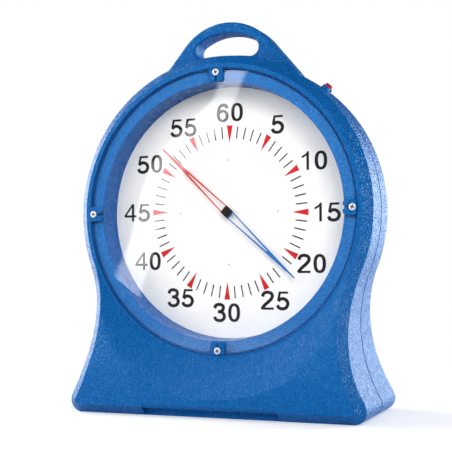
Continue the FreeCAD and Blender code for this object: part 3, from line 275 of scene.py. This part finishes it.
def smooth_path(points, steps=8):
    """Catmull-Rom line through the points."""
    ends = [[2 * points[0][i] - points[1][i] for i in (0, 1)],
            [2 * points[-1][i] - points[-2][i] for i in (0, 1)]]
    run = [ends[0]] + [list(point) for point in points] + [ends[1]]
    path = []
    for a, b, c, d in zip(run, run[1:], run[2:], run[3:]):
        for step in range(steps):
            t = step / steps
            path.append(tuple(0.5 * (2 * b[i] + (c[i] - a[i]) * t
                                     + (2 * a[i] - 5 * b[i] + 4 * c[i] - d[i]) * t * t
                                     + (3 * b[i] - a[i] - 3 * c[i] + d[i]) * t ** 3)
                              for i in (0, 1)))
    return path + [tuple(points[-1])]


def stroke(points, width=STROKE):
    """Outline of a pen line along a path."""
    left, right = [], []
    for i, (x, y) in enumerate(points):
        before, after = points[max(i - 1, 0)], points[min(i + 1, len(points) - 1)]
        run = Vector((after[0] - before[0], after[1] - before[1])).normalized() * width / 2
        left.append((x - run.y, y + run.x))
        right.append((x + run.y, y - run.x))
    return left + right[::-1]


def oval(x, y, half_width, half_height, power=2.25, steps=48):
    """Superellipse round a point; a higher power is squarer."""
    points = []
    for step in range(steps):
        angle = 2 * math.pi * step / steps
        c, s = math.cos(angle), math.sin(angle)
        points.append((x + half_width * math.copysign(abs(c) ** (2 / power), c),
                       y + half_height * math.copysign(abs(s) ** (2 / power), s)))
    return points


def ring(x, y, half_width, half_height, power=2.25):
    """Pen line along a superellipse, slightly thinner at its top and bottom."""
    return [oval(x, y, half_width, half_height, power),
            oval(x, y, half_width - STROKE, half_height - STROKE * 0.86, power)]


def bar(x0, y0, x1, y1):
    """Outline of a rectangle."""
    return [(x0, y0), (x1, y0), (x1, y1), (x0, y1)]


ADVANCE = 0.855                  # from one digit to the next
DIGITS = {
    "0": [ring(0.39, 0.5, 0.325, 0.508, 2.35)],
    "1": [[[(0.57, 0), (0.57, 1), (0.475, 1), (0.42, 0.905), (0.31, 0.82), (0.19, 0.765),
            (0.19, 0.645), (0.32, 0.695), (0.435, 0.775), (0.435, 0)]]],
    "2": [[stroke(smooth_path([(0.115, 0.705), (0.165, 0.855), (0.29, 0.935), (0.43, 0.94),
                               (0.575, 0.885), (0.64, 0.745), (0.59, 0.60), (0.44, 0.44),
                               (0.26, 0.28), (0.13, 0.13), (0.085, 0.04)]))],
          [bar(0.045, 0, 0.71, 0.125)]],
    "3": [[stroke(smooth_path([(0.115, 0.735), (0.175, 0.875), (0.30, 0.94), (0.44, 0.935),
                               (0.565, 0.87), (0.60, 0.75), (0.55, 0.625), (0.43, 0.555),
                               (0.29, 0.545)]))],
          [stroke(smooth_path([(0.33, 0.54), (0.48, 0.525), (0.60, 0.44), (0.65, 0.30),
                               (0.60, 0.145), (0.47, 0.065), (0.33, 0.06), (0.185, 0.12),
                               (0.105, 0.265)]))]],
    "4": [[[(0.60, 0), (0.60, 0.235), (0.735, 0.235), (0.735, 0.36), (0.60, 0.36), (0.60, 1),
            (0.485, 1), (0.03, 0.36), (0.03, 0.235), (0.465, 0.235), (0.465, 0)],
           [(0.465, 0.36), (0.465, 0.80), (0.16, 0.36)]]],
    "5": [[stroke(smooth_path([(0.155, 0.465), (0.26, 0.57), (0.40, 0.60), (0.55, 0.54),
                               (0.64, 0.42), (0.65, 0.29), (0.58, 0.135), (0.45, 0.065),
                               (0.32, 0.06), (0.18, 0.12), (0.105, 0.255)]))],
          [[(0.675, 0.865), (0.675, 0.985), (0.185, 0.985), (0.085, 0.485), (0.215, 0.465),
            (0.29, 0.865)]]],
    "6": [ring(0.40, 0.335, 0.325, 0.345, 2.15),
          [stroke(smooth_path([(0.144, 0.34), (0.145, 0.52), (0.175, 0.70), (0.25, 0.85),
                               (0.38, 0.935), (0.51, 0.925), (0.60, 0.85), (0.64, 0.745)]))]],
}
NUMERAL_HEIGHT = 37.3 * MM
NUMERAL_WIDTH = 1.07             # of the drawing in DIGITS
NUMERAL_CIRCLE = 205 * MM
NUMERAL_SPREAD = 1.014           # of their circle, across
MARK_SPREAD = (0.965, 1.006)     # of the ring of marks, across and up
TICK = (1.35 * MM, 150.5 * MM, 175.5 * MM)       # half width, inner and outer radius
WEDGE = (6.6 * MM, 141 * MM, 177.5 * MM)         # half width at its base, inner and outer radius
DIAL_TURN = math.radians(1.3)    # the printed sheet sits slightly clockwise
INK = 0.08 * MM                  # thickness of the print


def on_dial(x, z, rise=INK / 2):
    """Frame of a flat mark on the dial's face: its XY becomes the dial's right and up."""
    turn = Matrix.Rotation(math.radians(90), 4, "X")
    return Matrix.Translation((x, DIAL_FACE - rise, AXIS_Z + z)) @ turn


def make_numerals(material):
    """Numerals 5 to 60, upright on their circle."""
    digits = {}
    for word, parts in DIGITS.items():
        solids = [prism(outlines, INK / NUMERAL_HEIGHT) for outlines in parts]
        digits[word] = combined(solids) if len(solids) > 1 else solids[0]
    placed = []
    for hour in range(1, 13):
        text = str(hour * 5)
        turn = math.radians(30 * hour) + DIAL_TURN
        centre_x = NUMERAL_CIRCLE * NUMERAL_SPREAD * math.sin(turn)
        centre_z = NUMERAL_CIRCLE * math.cos(turn)
        for place, word in enumerate(text):
            x = centre_x + (place - len(text) / 2) * ADVANCE * NUMERAL_HEIGHT
            z = centre_z - NUMERAL_HEIGHT / 2
            shape = Matrix.Diagonal((NUMERAL_HEIGHT * NUMERAL_WIDTH, NUMERAL_HEIGHT,
                                     NUMERAL_HEIGHT, 1))
            placed.append((digits[word], on_dial(x, z) @ shape))
    piece = new_piece("numerals", joined(placed), material, "clock")


def make_marks(black, red):
    """A tick for each second and a wedge, base outward, for each fifth."""
    spread = Matrix.Diagonal((*MARK_SPREAD, 1, 1))
    half, inner, outer = TICK
    tick = prism([bar(-half, inner, half, outer)], INK)
    half, inner, outer = WEDGE
    wedge = prism([[(-half, outer), (0, inner), (half, outer)]], INK)
    ticks, wedges = [], []
    for second in range(60):
        matrix = (on_dial(0, 0) @ Matrix.Rotation(-DIAL_TURN, 4, "Z") @ spread
                  @ Matrix.Rotation(math.radians(-6 * second), 4, "Z"))
        if second % 5 == 0:
            wedges.append((wedge, matrix))
        else:
            ticks.append((tick, matrix))
    new_piece("second_marks", joined(ticks), black, "clock")
    new_piece("five_second_marks", joined(wedges), red, "clock")


# Screws and seal in the places of CAD nodes

DOME_FOOT = 0.45                 # height of the dome's edge, as a share of the head's
DOME_STEPS = 8
CROSS_ARM, CROSS_HALF = 0.68, 0.19               # reach and half width, as shares of the radius


def cross_screw(radius, height, shank, length):
    """Screw along local Z with a domed, cross-recessed head above the origin.

    The faces of the recess have the second material, a dark colour that paints the shade in the
    recess.
    """
    dome = [(radius * math.sin(math.pi / 2 * step / DOME_STEPS),
             height * (DOME_FOOT + (1 - DOME_FOOT) * math.cos(math.pi / 2 * step / DOME_STEPS)))
            for step in range(DOME_STEPS + 1)]
    dome[0] = (0, height)
    body = turned(dome + [(radius, 0.06 * height), (0.97 * radius, 0), (shank, 0),
                          (shank, 0.4 * shank - length), (0.6 * shank, -length), (0, -length)])
    arm, half = CROSS_ARM * radius, CROSS_HALF * radius
    across = block((-arm, -half, 0.20 * height), (arm, half, 1.2 * height), 0.7)
    along = block((-half, -arm, 0.25 * height), (half, arm, 1.2 * height), 0.7)
    screw = combined([body, combined([across, along])], "DIFFERENCE")
    # Faces down in the cross recess take the painted shade material.
    for face in screw.polygons:
        out = math.hypot(face.center.x, face.center.y) / radius
        under_dome = 0.42 + 0.5 * math.sqrt(max(1 - out * out, 0))
        if out < 0.75 and 0.1 < face.center.z / height < under_dome:
            face.material_index = 1
    return screw


SEAL_LIP = 1.9 * MM              # width of the lip round the lens
LIP_BEVEL = 0.5 * MM             # of its outer edge: across the face
LIP_FALL = 0.7 * MM              # and along the rim
LENS_GAP = 0.1 * MM              # between the lip and the lens
LENS_BEVEL = 0.4 * MM            # of the lip's edge at the lens
SEAL_STEPS = 360


def make_seal(material):
    """Seal between the lens and its seat, with a lip that fills the gap round the lens."""
    lens_low, lens_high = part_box("lens")
    seal_low, seal_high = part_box("lens_seal")
    edge = (lens_high.x - lens_low.x) / 2
    inner = min(math.hypot(corner.x, corner.z - AXIS_Z)
                for solid in solids_of("lens_seal") for corner in solid)
    section = [(inner, seal_high.y), (edge + SEAL_LIP, seal_high.y),
               (edge + SEAL_LIP, lens_low.y + LIP_FALL),
               (edge + SEAL_LIP - LIP_BEVEL, lens_low.y), (edge + LENS_BEVEL, lens_low.y),
               (edge + LENS_GAP, lens_low.y + LENS_BEVEL), (edge + LENS_GAP, seal_low.y),
               (inner, seal_low.y)]
    corners, faces = [], []
    for step in range(SEAL_STEPS):
        angle = 2 * math.pi * step / SEAL_STEPS
        for radius, y in section:
            corners.append((radius * math.cos(angle), y, AXIS_Z + radius * math.sin(angle)))
        here, there = step * len(section), (step + 1) % SEAL_STEPS * len(section)
        for side in range(len(section)):
            after = (side + 1) % len(section)
            faces.append((here + side, here + after, there + after, there + side))
    mesh = bpy.data.meshes.new("lens_seal_lip")
    mesh.from_pydata(corners, [], faces)
    piece = new_piece("lens_seal_lip", welded(mesh), material, "clock", 30)
    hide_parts("lens_seal")


def make_screws(node, material, recess, turns):
    """Screws in the places and sizes of a CAD node's solids, with the turns of their crosses."""
    placed = []
    for index, corners in enumerate(solids_of(node)):
        low = Vector([min(corner[i] for corner in corners) for i in range(3)])
        high = Vector([max(corner[i] for corner in corners) for i in range(3)])
        middle = (low + high) / 2
        reach = [math.hypot(corner.x - middle.x, corner.z - middle.z) for corner in corners]
        radius = max(reach)
        head = [corner.y for corner, out in zip(corners, reach) if out > 0.95 * radius]
        shank = min(out for out in reach if out > 0.2 * radius)
        front = sum(head) / len(head) < middle.y
        foot = max(head) if front else min(head)
        length = (high.y if front else low.y) - foot
        height = foot - low.y if front else high.y - foot
        screw = cross_screw(radius, height, shank, abs(length))
        turn = Matrix.Rotation(math.radians(90 if front else -90), 4, "X")
        placed.append((screw, Matrix.Translation((middle.x, foot, middle.z)) @ turn
                       @ Matrix.Rotation(math.radians(turns[index % len(turns)]), 4, "Z")))
    piece = new_piece(node + "_crossed", joined(placed), material, "clock", 35)
    # The recess material paints the shade in the cross recesses.
    piece.data.materials.append(recess)
    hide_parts(node)


# Rounded edges of moulded and turned CAD pieces

def round_edges(node, width, segments=3):
    """Bevels, in millimetres, and smooth shading on a CAD node, by modifiers alone."""
    thing = nodes[node]
    thing.data.shade_smooth()
    weld = thing.modifiers.new("weld", "WELD")
    weld.merge_threshold = SAME_CAD_CORNER
    bevel = thing.modifiers.new("edges", "BEVEL")
    bevel.width, bevel.segments = width * MM, segments
    bevel.limit_method, bevel.angle_limit = "ANGLE", math.radians(30)
    normals = thing.modifiers.new("normals", "WEIGHTED_NORMAL")
    normals.keep_sharp = False


# Materials

MIDDLE = (0.35, 0.65)            # range of a noise texture that holds most of its values


class Finish:
    """Material under construction, with a Principled shader at its end."""

    def __init__(self, name, **constants):
        self.material = bpy.data.materials.new(name)
        self.material.use_nodes = True
        self.tree = self.material.node_tree
        self.tree.nodes.clear()
        self.shader = self.add("ShaderNodeBsdfPrincipled", **constants)
        self.output = self.add("ShaderNodeOutputMaterial")
        self.wire(self.shader, "BSDF", self.output, "Surface")
        self.place = self.add("ShaderNodeTexCoord")

    def add(self, kind, **settings):
        """New node; a setting names an input of it, or else a property."""
        item = self.tree.nodes.new(kind)
        for name, value in settings.items():
            if name in item.inputs:
                item.inputs[name].default_value = value
            elif name.replace("_", " ") in item.inputs:
                item.inputs[name.replace("_", " ")].default_value = value
            else:
                setattr(item, name, value)
        return item

    def wire(self, source, output, target, socket):
        """Link an output of one node to an input of another."""
        self.tree.links.new(source.outputs[output], target.inputs[socket])

    def noise(self, scale, detail=2.0, roughness=0.5, stretch=None):
        """Noise with about as many grains to a metre as its scale."""
        item = self.add("ShaderNodeTexNoise", Scale=scale, Detail=detail, Roughness=roughness)
        if stretch:
            mapping = self.add("ShaderNodeMapping", Scale=stretch)
            self.wire(self.place, "Object", mapping, "Vector")
            self.wire(mapping, "Vector", item, "Vector")
        else:
            self.wire(self.place, "Object", item, "Vector")
        return item

    def remapped(self, value, start, end, low=0.0, high=1.0):
        """Output that runs from low to high while a value runs from start to end."""
        item = self.add("ShaderNodeMapRange")
        for name, number in (("From Min", start), ("From Max", end), ("To Min", low),
                             ("To Max", high)):
            item.inputs[name].default_value = number
        self.tree.links.new(value, item.inputs["Value"])
        return item.outputs["Result"]

    def between(self, source, low, high, target, socket):
        """Map a texture's middle range to a range of numbers."""
        result = self.remapped(source.outputs[0], *MIDDLE, low, high)
        self.tree.links.new(result, target.inputs[socket])

    def product(self, first, *others):
        """Outputs multiplied with one another."""
        for other in others:
            item = self.add("ShaderNodeMath", operation="MULTIPLY")
            self.tree.links.new(first, item.inputs[0])
            self.tree.links.new(other, item.inputs[1])
            first = item.outputs[0]
        return first

    def mixed(self, colour, second, share):
        """Colour output that changes to a second colour by a share."""
        item = self.add("ShaderNodeMix", data_type="RGBA")
        self.tree.links.new(share, item.inputs["Factor"])
        self.tree.links.new(colour, item.inputs[6])
        item.inputs[7].default_value = (*second, 1)
        return item.outputs[2]

    def tint(self, source, first, second):
        """Base colour that wanders between two close colours."""
        ramp = self.add("ShaderNodeValToRGB")
        for element, place, colour in zip(ramp.color_ramp.elements, MIDDLE, (first, second)):
            element.position = place
            element.color = (*colour, 1)
        self.wire(source, source.outputs[0].name, ramp, "Fac")
        self.wire(ramp, "Color", self.shader, "Base Color")
        return ramp

    def bump(self, source, distance, below=None):
        """Surface relief from a texture, on top of another relief."""
        item = self.add("ShaderNodeBump", Distance=distance, Strength=1.0)
        self.wire(source, source.outputs[0].name, item, "Height")
        if below:
            self.wire(below, "Normal", item, "Normal")
        self.wire(item, "Normal", self.shader, "Normal")
        return item


GRAIN = 380                      # pebbles of the moulding to a metre
GRAIN_DEPTH = 2.6 * MM
LEDGE_REACH = 30 * MM            # outer radius of the ledge beyond the dial's


def moulded_blue():
    """Pebbled polyethylene with painted light in its colour: paler pebble tops as painted
    glints, painted shade on the wall of the bowl and painted light on its ledge.
    """
    look = Finish("housing_blue", Specular_IOR_Level=0.42)
    look.shader.inputs["Specular Tint"].default_value = (0.22, 0.72, 1.0, 1)
    grain = look.noise(GRAIN, 0.6, 0.4)
    # The base colour follows the pebble height and is paler on the tops: random tone and painted
    # glints on the pebble tops together.
    shade = look.tint(grain, (0.0002, 0.096, 0.380), (0.0012, 0.142, 0.485)).outputs["Color"]
    from_axis = look.add("ShaderNodeVectorMath", operation="MULTIPLY_ADD")
    look.wire(look.place, "Object", from_axis, 0)
    from_axis.inputs[1].default_value = (1, 0, 1)
    from_axis.inputs[2].default_value = (0, 0, -AXIS_Z)
    length = look.add("ShaderNodeVectorMath", operation="LENGTH")
    look.wire(from_axis, "Vector", length, "Vector")
    split = look.add("ShaderNodeSeparateXYZ")
    look.wire(look.place, "Object", split, "Vector")
    radius, depth = length.outputs["Value"], split.outputs["Y"]
    lens_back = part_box("lens")[1].y
    ledge_edge = DIAL_RADIUS + LEDGE_REACH
    # Painted shade: the wall of the bowl next to the dial is darkened, standing in for the shade
    # inside the recess.
    wall_painted_shade = look.product(
        look.remapped(radius, DIAL_RADIUS + 3.5 * MM, DIAL_RADIUS + 1.5 * MM, high=0.35),
        look.remapped(depth, DIAL_FACE + 12 * MM, DIAL_FACE + 10 * MM))
    # Painted light: the ledge under the lens is made paler, standing in for the light that falls
    # on it.
    ledge_painted_light = look.product(
        look.remapped(radius, DIAL_RADIUS + 3.5 * MM, DIAL_RADIUS + 4.5 * MM, high=0.5),
        look.remapped(radius, ledge_edge, ledge_edge - 1 * MM),
        look.remapped(depth, lens_back - 0.6 * MM, lens_back - 0.1 * MM),
        look.remapped(depth, lens_back + 8 * MM, lens_back + 6 * MM))
    shade = look.mixed(shade, (0.0002, 0.06, 0.30), wall_painted_shade)
    shade = look.mixed(shade, (0.030, 0.150, 0.40), ledge_painted_light)
    look.tree.links.new(shade, look.shader.inputs["Base Color"])
    look.between(look.noise(60, 2), 0.22, 0.30, look.shader, "Roughness")
    wave = look.bump(look.noise(30, 1), 0.4 * MM)
    look.bump(grain, GRAIN_DEPTH, below=wave)
    return look.material


def clear_sheet():
    """Clear acrylic of the lens."""
    look = Finish("clear_lens", Transmission_Weight=1.0, IOR=1.49, Roughness=0.0)
    look.shader.inputs["Base Color"].default_value = (0.985, 0.992, 1.0, 1)
    return look.material


def soft_rubber(name, shade):
    """Matt rubber with a fine grain."""
    look = Finish(name, Specular_IOR_Level=0.3)
    look.tint(look.noise(300, 3), [c * 0.8 for c in shade], [c * 1.2 for c in shade])
    look.between(look.noise(500), 0.6, 0.8, look.shader, "Roughness")
    look.bump(look.noise(1500, 3), 0.1 * MM)
    return look.material


METAL_GRAIN = 2500               # grains to a metre


def metal(name, colour, rough, stretch=(1, 1, 1), metallic=1.0):
    """Satin metal, whose fine grain may run in one direction."""
    look = Finish(name, Metallic=metallic)
    look.tint(look.noise(400, 3), [c * 0.94 for c in colour], [min(c * 1.04, 1) for c in colour])
    look.between(look.noise(METAL_GRAIN, 3, 0.6, stretch), rough * 0.8, rough * 1.25,
                 look.shader, "Roughness")
    look.bump(look.noise(METAL_GRAIN, 3, 0.6, stretch), 0.02 * MM)
    return look.material


def plastic(name, colour, rough, grain=1800, depth=0.04 * MM, level=0.4, vary=0.05):
    """Moulded, painted or printed plastic with a fine grain."""
    look = Finish(name, Specular_IOR_Level=level)
    look.tint(look.noise(40, 3), [c * (1 - vary) for c in colour],
              [min(c * (1 + vary), 1) for c in colour])
    look.between(look.noise(200, 2), rough * 0.85, rough * 1.15, look.shader, "Roughness")
    look.bump(look.noise(grain, 2), depth)
    return look.material


materials = {
    "housing_blue": moulded_blue(),
    "clear_lens": clear_sheet(),
    "seal_rubber": soft_rubber("seal_rubber", (0.002, 0.09, 0.35)),
    "stainless": metal("stainless", (0.86, 0.86, 0.88), 0.45),
    "plate_aluminium": metal("plate_aluminium", (0.77, 0.78, 0.79), 0.35, (1, 1, 30)),
    "dial_white": plastic("dial_white", (0.88, 0.86, 0.82), 0.35, 900, 0.02 * MM, 0.3, 0.008),
    "hand_red": plastic("hand_red", (0.50, 0.004, 0.014), 0.4, 1500, 0.02 * MM, 0.2),
    "hand_blue": plastic("hand_blue", (0.004, 0.13, 0.42), 0.4, 1500, 0.02 * MM, 0.2),
    "black_plastic": plastic("black_plastic", (0.004, 0.004, 0.0045), 0.6, level=0.15),
    "brass": metal("brass", (0.80, 0.58, 0.25), 0.25),
    "gear_plastic": plastic("gear_plastic", (0.75, 0.72, 0.64), 0.4),
    "cell_jacket": plastic("cell_jacket", (0.02, 0.022, 0.024), 0.25),
    "button_red": plastic("button_red", (0.60, 0.012, 0.035), 0.25, 900, 0.03 * MM),
    "lead_sheath": soft_rubber("lead_sheath", (0.02, 0.02, 0.02)),
}
for part in frame["record"]["subparts"]:
    thing = nodes[part["node"]]
    thing.data.materials.clear()
    thing.data.materials.append(materials[part["material_slot"]])

nodes["lens"].visible_shadow = False     # so that the dial behind it is lit

print_black = plastic("print_black", (0.004, 0.004, 0.004), 0.45, 1500, 0.01 * MM, 0.2)
print_red = plastic("print_red", (0.56, 0.006, 0.012), 0.45, 1500, 0.01 * MM, 0.2)
make_numerals(print_black)
make_marks(print_black, print_red)
make_seal(materials["seal_rubber"])

screw_steel = metal("screw_steel", (0.88, 0.87, 0.90), 0.42, metallic=0.3)
# Dark purple that paints the shade in the cross recesses of the steel screws.
screw_recess_shade = metal("screw_recess_shade", (0.10, 0.06, 0.16), 0.5, metallic=0.3)
# Pale grey that paints the shade in the recesses of the white dial screws.
pale_recess_shade = plastic("pale_recess_shade", (0.30, 0.30, 0.29), 0.5, 900, 0.02 * MM, 0.3)
make_screws("lens_clip_screws", screw_steel, screw_recess_shade, (20, 65, 35, 80))
make_screws("dial_screws", materials["dial_white"], pale_recess_shade, (30, 75, 10, 50))
make_screws("rear_cover_screws", materials["stainless"], screw_recess_shade,
            (15, 50, 80, 35, 65))

for names, width in ((("housing",), 3), (("carrying_handle",), 1.5), (("rear_cover",), 1),
                     (("lens_clip_top", "lens_clip_right", "lens_clip_bottom", "lens_clip_left",
                       "button_collar", "button_cap"), 0.8),
                     (("lens", "hand_hub"), 0.5), (("red_hand", "blue_hand"), 0.3),
                     (("stem_nut",), 0.2)):
    for node in names:
        round_edges(node, width)
for lead in leads:
    lead.data.materials.append(materials["lead_sheath"])


# Light and floor

def toward(item, place, target):
    """Set an item at a place with its local -Z at a target."""
    item.location = place
    item.rotation_euler = (Vector(target) - Vector(place)).to_track_quat("-Z", "Y").to_euler()


LAMP_DISTANCE = 2.6              # from the point that they light, in metres
LAMP_TARGET = (0, 0, 0.42)


def softbox(name, turn, lift, size, power):
    """Square lamp at an angle from the dial's axis and above the horizon, in degrees."""
    light = bpy.data.lights.new(name, "AREA")
    light.shape = "SQUARE"
    light.size = size
    light.energy = power
    item = bpy.data.objects.new(name, light)
    bpy.context.scene.collection.objects.link(item)
    a, e = math.radians(turn), math.radians(lift)
    out = Vector((math.sin(a) * math.cos(e), -math.cos(a) * math.cos(e), math.sin(e)))
    toward(item, Vector(LAMP_TARGET) + out * LAMP_DISTANCE, LAMP_TARGET)


def camera_rays(tree):
    """One for what the camera sees straight away, zero for light on the object."""
    return tree.nodes.new("ShaderNodeLightPath").outputs["Is Camera Ray"]


FLOOR_HALF = 12                  # half its width, in metres
FLOOR_LIFT = 0.25                # glow of the near floor to the camera
FLOOR_FADE = (0.45, 1.3)         # from the near floor to plain white, in metres


def make_floor():
    """Pale floor that keeps the shadow near the object and is white further away."""
    mesh = bpy.data.meshes.new("floor")
    mesh.from_pydata([(x * FLOOR_HALF, y * FLOOR_HALF, 0)
                      for x, y in ((-1, -1), (1, -1), (1, 1), (-1, 1))], [], [(0, 1, 2, 3)])
    floor = bpy.data.objects.new("floor", mesh)
    bpy.context.scene.collection.objects.link(floor)
    ground = Finish("floor", Roughness=0.9, Specular_IOR_Level=0.1)
    ground.tint(ground.noise(3, 4), (0.84, 0.84, 0.84), (0.86, 0.86, 0.86))
    links = ground.tree.links
    seen = camera_rays(ground.tree)
    glow = ground.add("ShaderNodeEmission", Color=(1, 1, 1, 1))
    lift = ground.add("ShaderNodeMath", operation="MULTIPLY")
    lift.inputs[1].default_value = FLOOR_LIFT
    links.new(seen, lift.inputs[0])
    links.new(lift.outputs[0], glow.inputs["Strength"])
    near = ground.add("ShaderNodeAddShader")
    links.new(ground.shader.outputs[0], near.inputs[0])
    links.new(glow.outputs[0], near.inputs[1])
    away = ground.add("ShaderNodeVectorMath", operation="LENGTH")
    ground.wire(ground.place, "Object", away, "Vector")
    share = ground.product(ground.remapped(away.outputs["Value"], *FLOOR_FADE), seen)
    white = ground.add("ShaderNodeEmission", Color=(1, 1, 1, 1), Strength=1.0)
    both = ground.add("ShaderNodeMixShader")
    links.new(share, both.inputs["Fac"])
    links.new(near.outputs[0], both.inputs[1])
    links.new(white.outputs[0], both.inputs[2])
    links.new(both.outputs[0], ground.output.inputs["Surface"])
    mesh.materials.append(ground.material)


ROOM = 0.10                      # light of the room on the object


def make_world():
    """Plain grey room, white to the camera."""
    world = bpy.data.worlds.new("studio")
    bpy.context.scene.world = world
    world.use_nodes = True
    tree = world.node_tree
    tree.nodes.clear()
    out = tree.nodes.new("ShaderNodeOutputWorld")
    mix = tree.nodes.new("ShaderNodeMixShader")
    tree.links.new(camera_rays(tree), mix.inputs["Fac"])
    for slot, strength in ((1, ROOM), (2, 1.0)):
        light = tree.nodes.new("ShaderNodeBackground")
        light.inputs["Color"].default_value = (1, 1, 1, 1)
        light.inputs["Strength"].default_value = strength
        tree.links.new(light.outputs[0], mix.inputs[slot])
    tree.links.new(mix.outputs[0], out.inputs["Surface"])


GLARE = 7.5                      # brightness of the card
CARD_Y = -1577                   # plane of the card, in millimetres
CARD_RIM = [                     # x and z of its outer and inner rim, from the dial's centre
    (-606, 617, -484, 607), (-638, 496, -538, 490), (-697, 446, -565, 420),
    (-756, 399, -631, 338), (-833, 333, -725, 241), (-891, 266, -773, 163),
    (-927, 176, -814, 70), (-952, 84, -846, -9), (-981, -18, -879, -89),
    (-1044, -136, -920, -228)]
CARD_SHARES = (0, 0.2, 0.5, 0.8, 1)              # across it; it is dark at both rims


def make_glare_card():
    """Curved bright card in front of the clock, seen only as a reflection on the lens."""
    corners, faces, levels = [], [], []
    for row, (outer_x, outer_z, inner_x, inner_z) in enumerate(CARD_RIM):
        for share in CARD_SHARES:
            corners.append(Vector((outer_x + (inner_x - outer_x) * share, CARD_Y,
                                   outer_z + (inner_z - outer_z) * share + AXIS_HEIGHT)) * MM)
            levels.append(0.0 if share in (0, 1) else 1.0)
            if row and share < 1:
                start, below = len(corners) - 1, len(corners) - 1 - len(CARD_SHARES)
                faces.append((start, start + 1, below + 1, below))
    mesh = bpy.data.meshes.new("glare_card")
    mesh.from_pydata(corners, [], faces)
    level = mesh.attributes.new("level", "FLOAT", "POINT")
    level.data.foreach_set("value", levels)
    card = bpy.data.objects.new("glare_card", mesh)
    bpy.context.scene.collection.objects.link(card)
    look = Finish("glare_card")
    glow = look.add("ShaderNodeEmission", Color=(1, 1, 1, 1))
    read = look.add("ShaderNodeAttribute", attribute_name="level")
    uneven = look.remapped(look.noise(4, 2).outputs[0], *MIDDLE, 0.9 * GLARE, 1.1 * GLARE)
    look.tree.links.new(look.product(read.outputs["Fac"], uneven), glow.inputs["Strength"])
    look.wire(glow, "Emission", look.output, "Surface")
    mesh.materials.append(look.material)
    card.visible_camera = card.visible_diffuse = card.visible_shadow = False
    card.visible_transmission = card.visible_volume_scatter = False


make_floor()
make_world()
make_glare_card()
for name, turn, lift, size, power in (("front_box", 36, 28, 1.0, 26),
                                      ("high_box", -12, 34, 1.2, 12),
                                      ("left_box", -91, 31, 1.0, 40),
                                      ("left_front_box", -58, 8, 1.2, 23),
                                      ("left_rear_box", -120, 5, 1.2, 18),
                                      ("right_rear_box", 125, 5, 1.2, 60),
                                      ("rear_box", 152, 5, 1.2, 26)):
    softbox(name, turn, lift, size, power)

bpy.context.scene.view_settings.view_transform = "Standard"
bpy.context.view_layer.update()
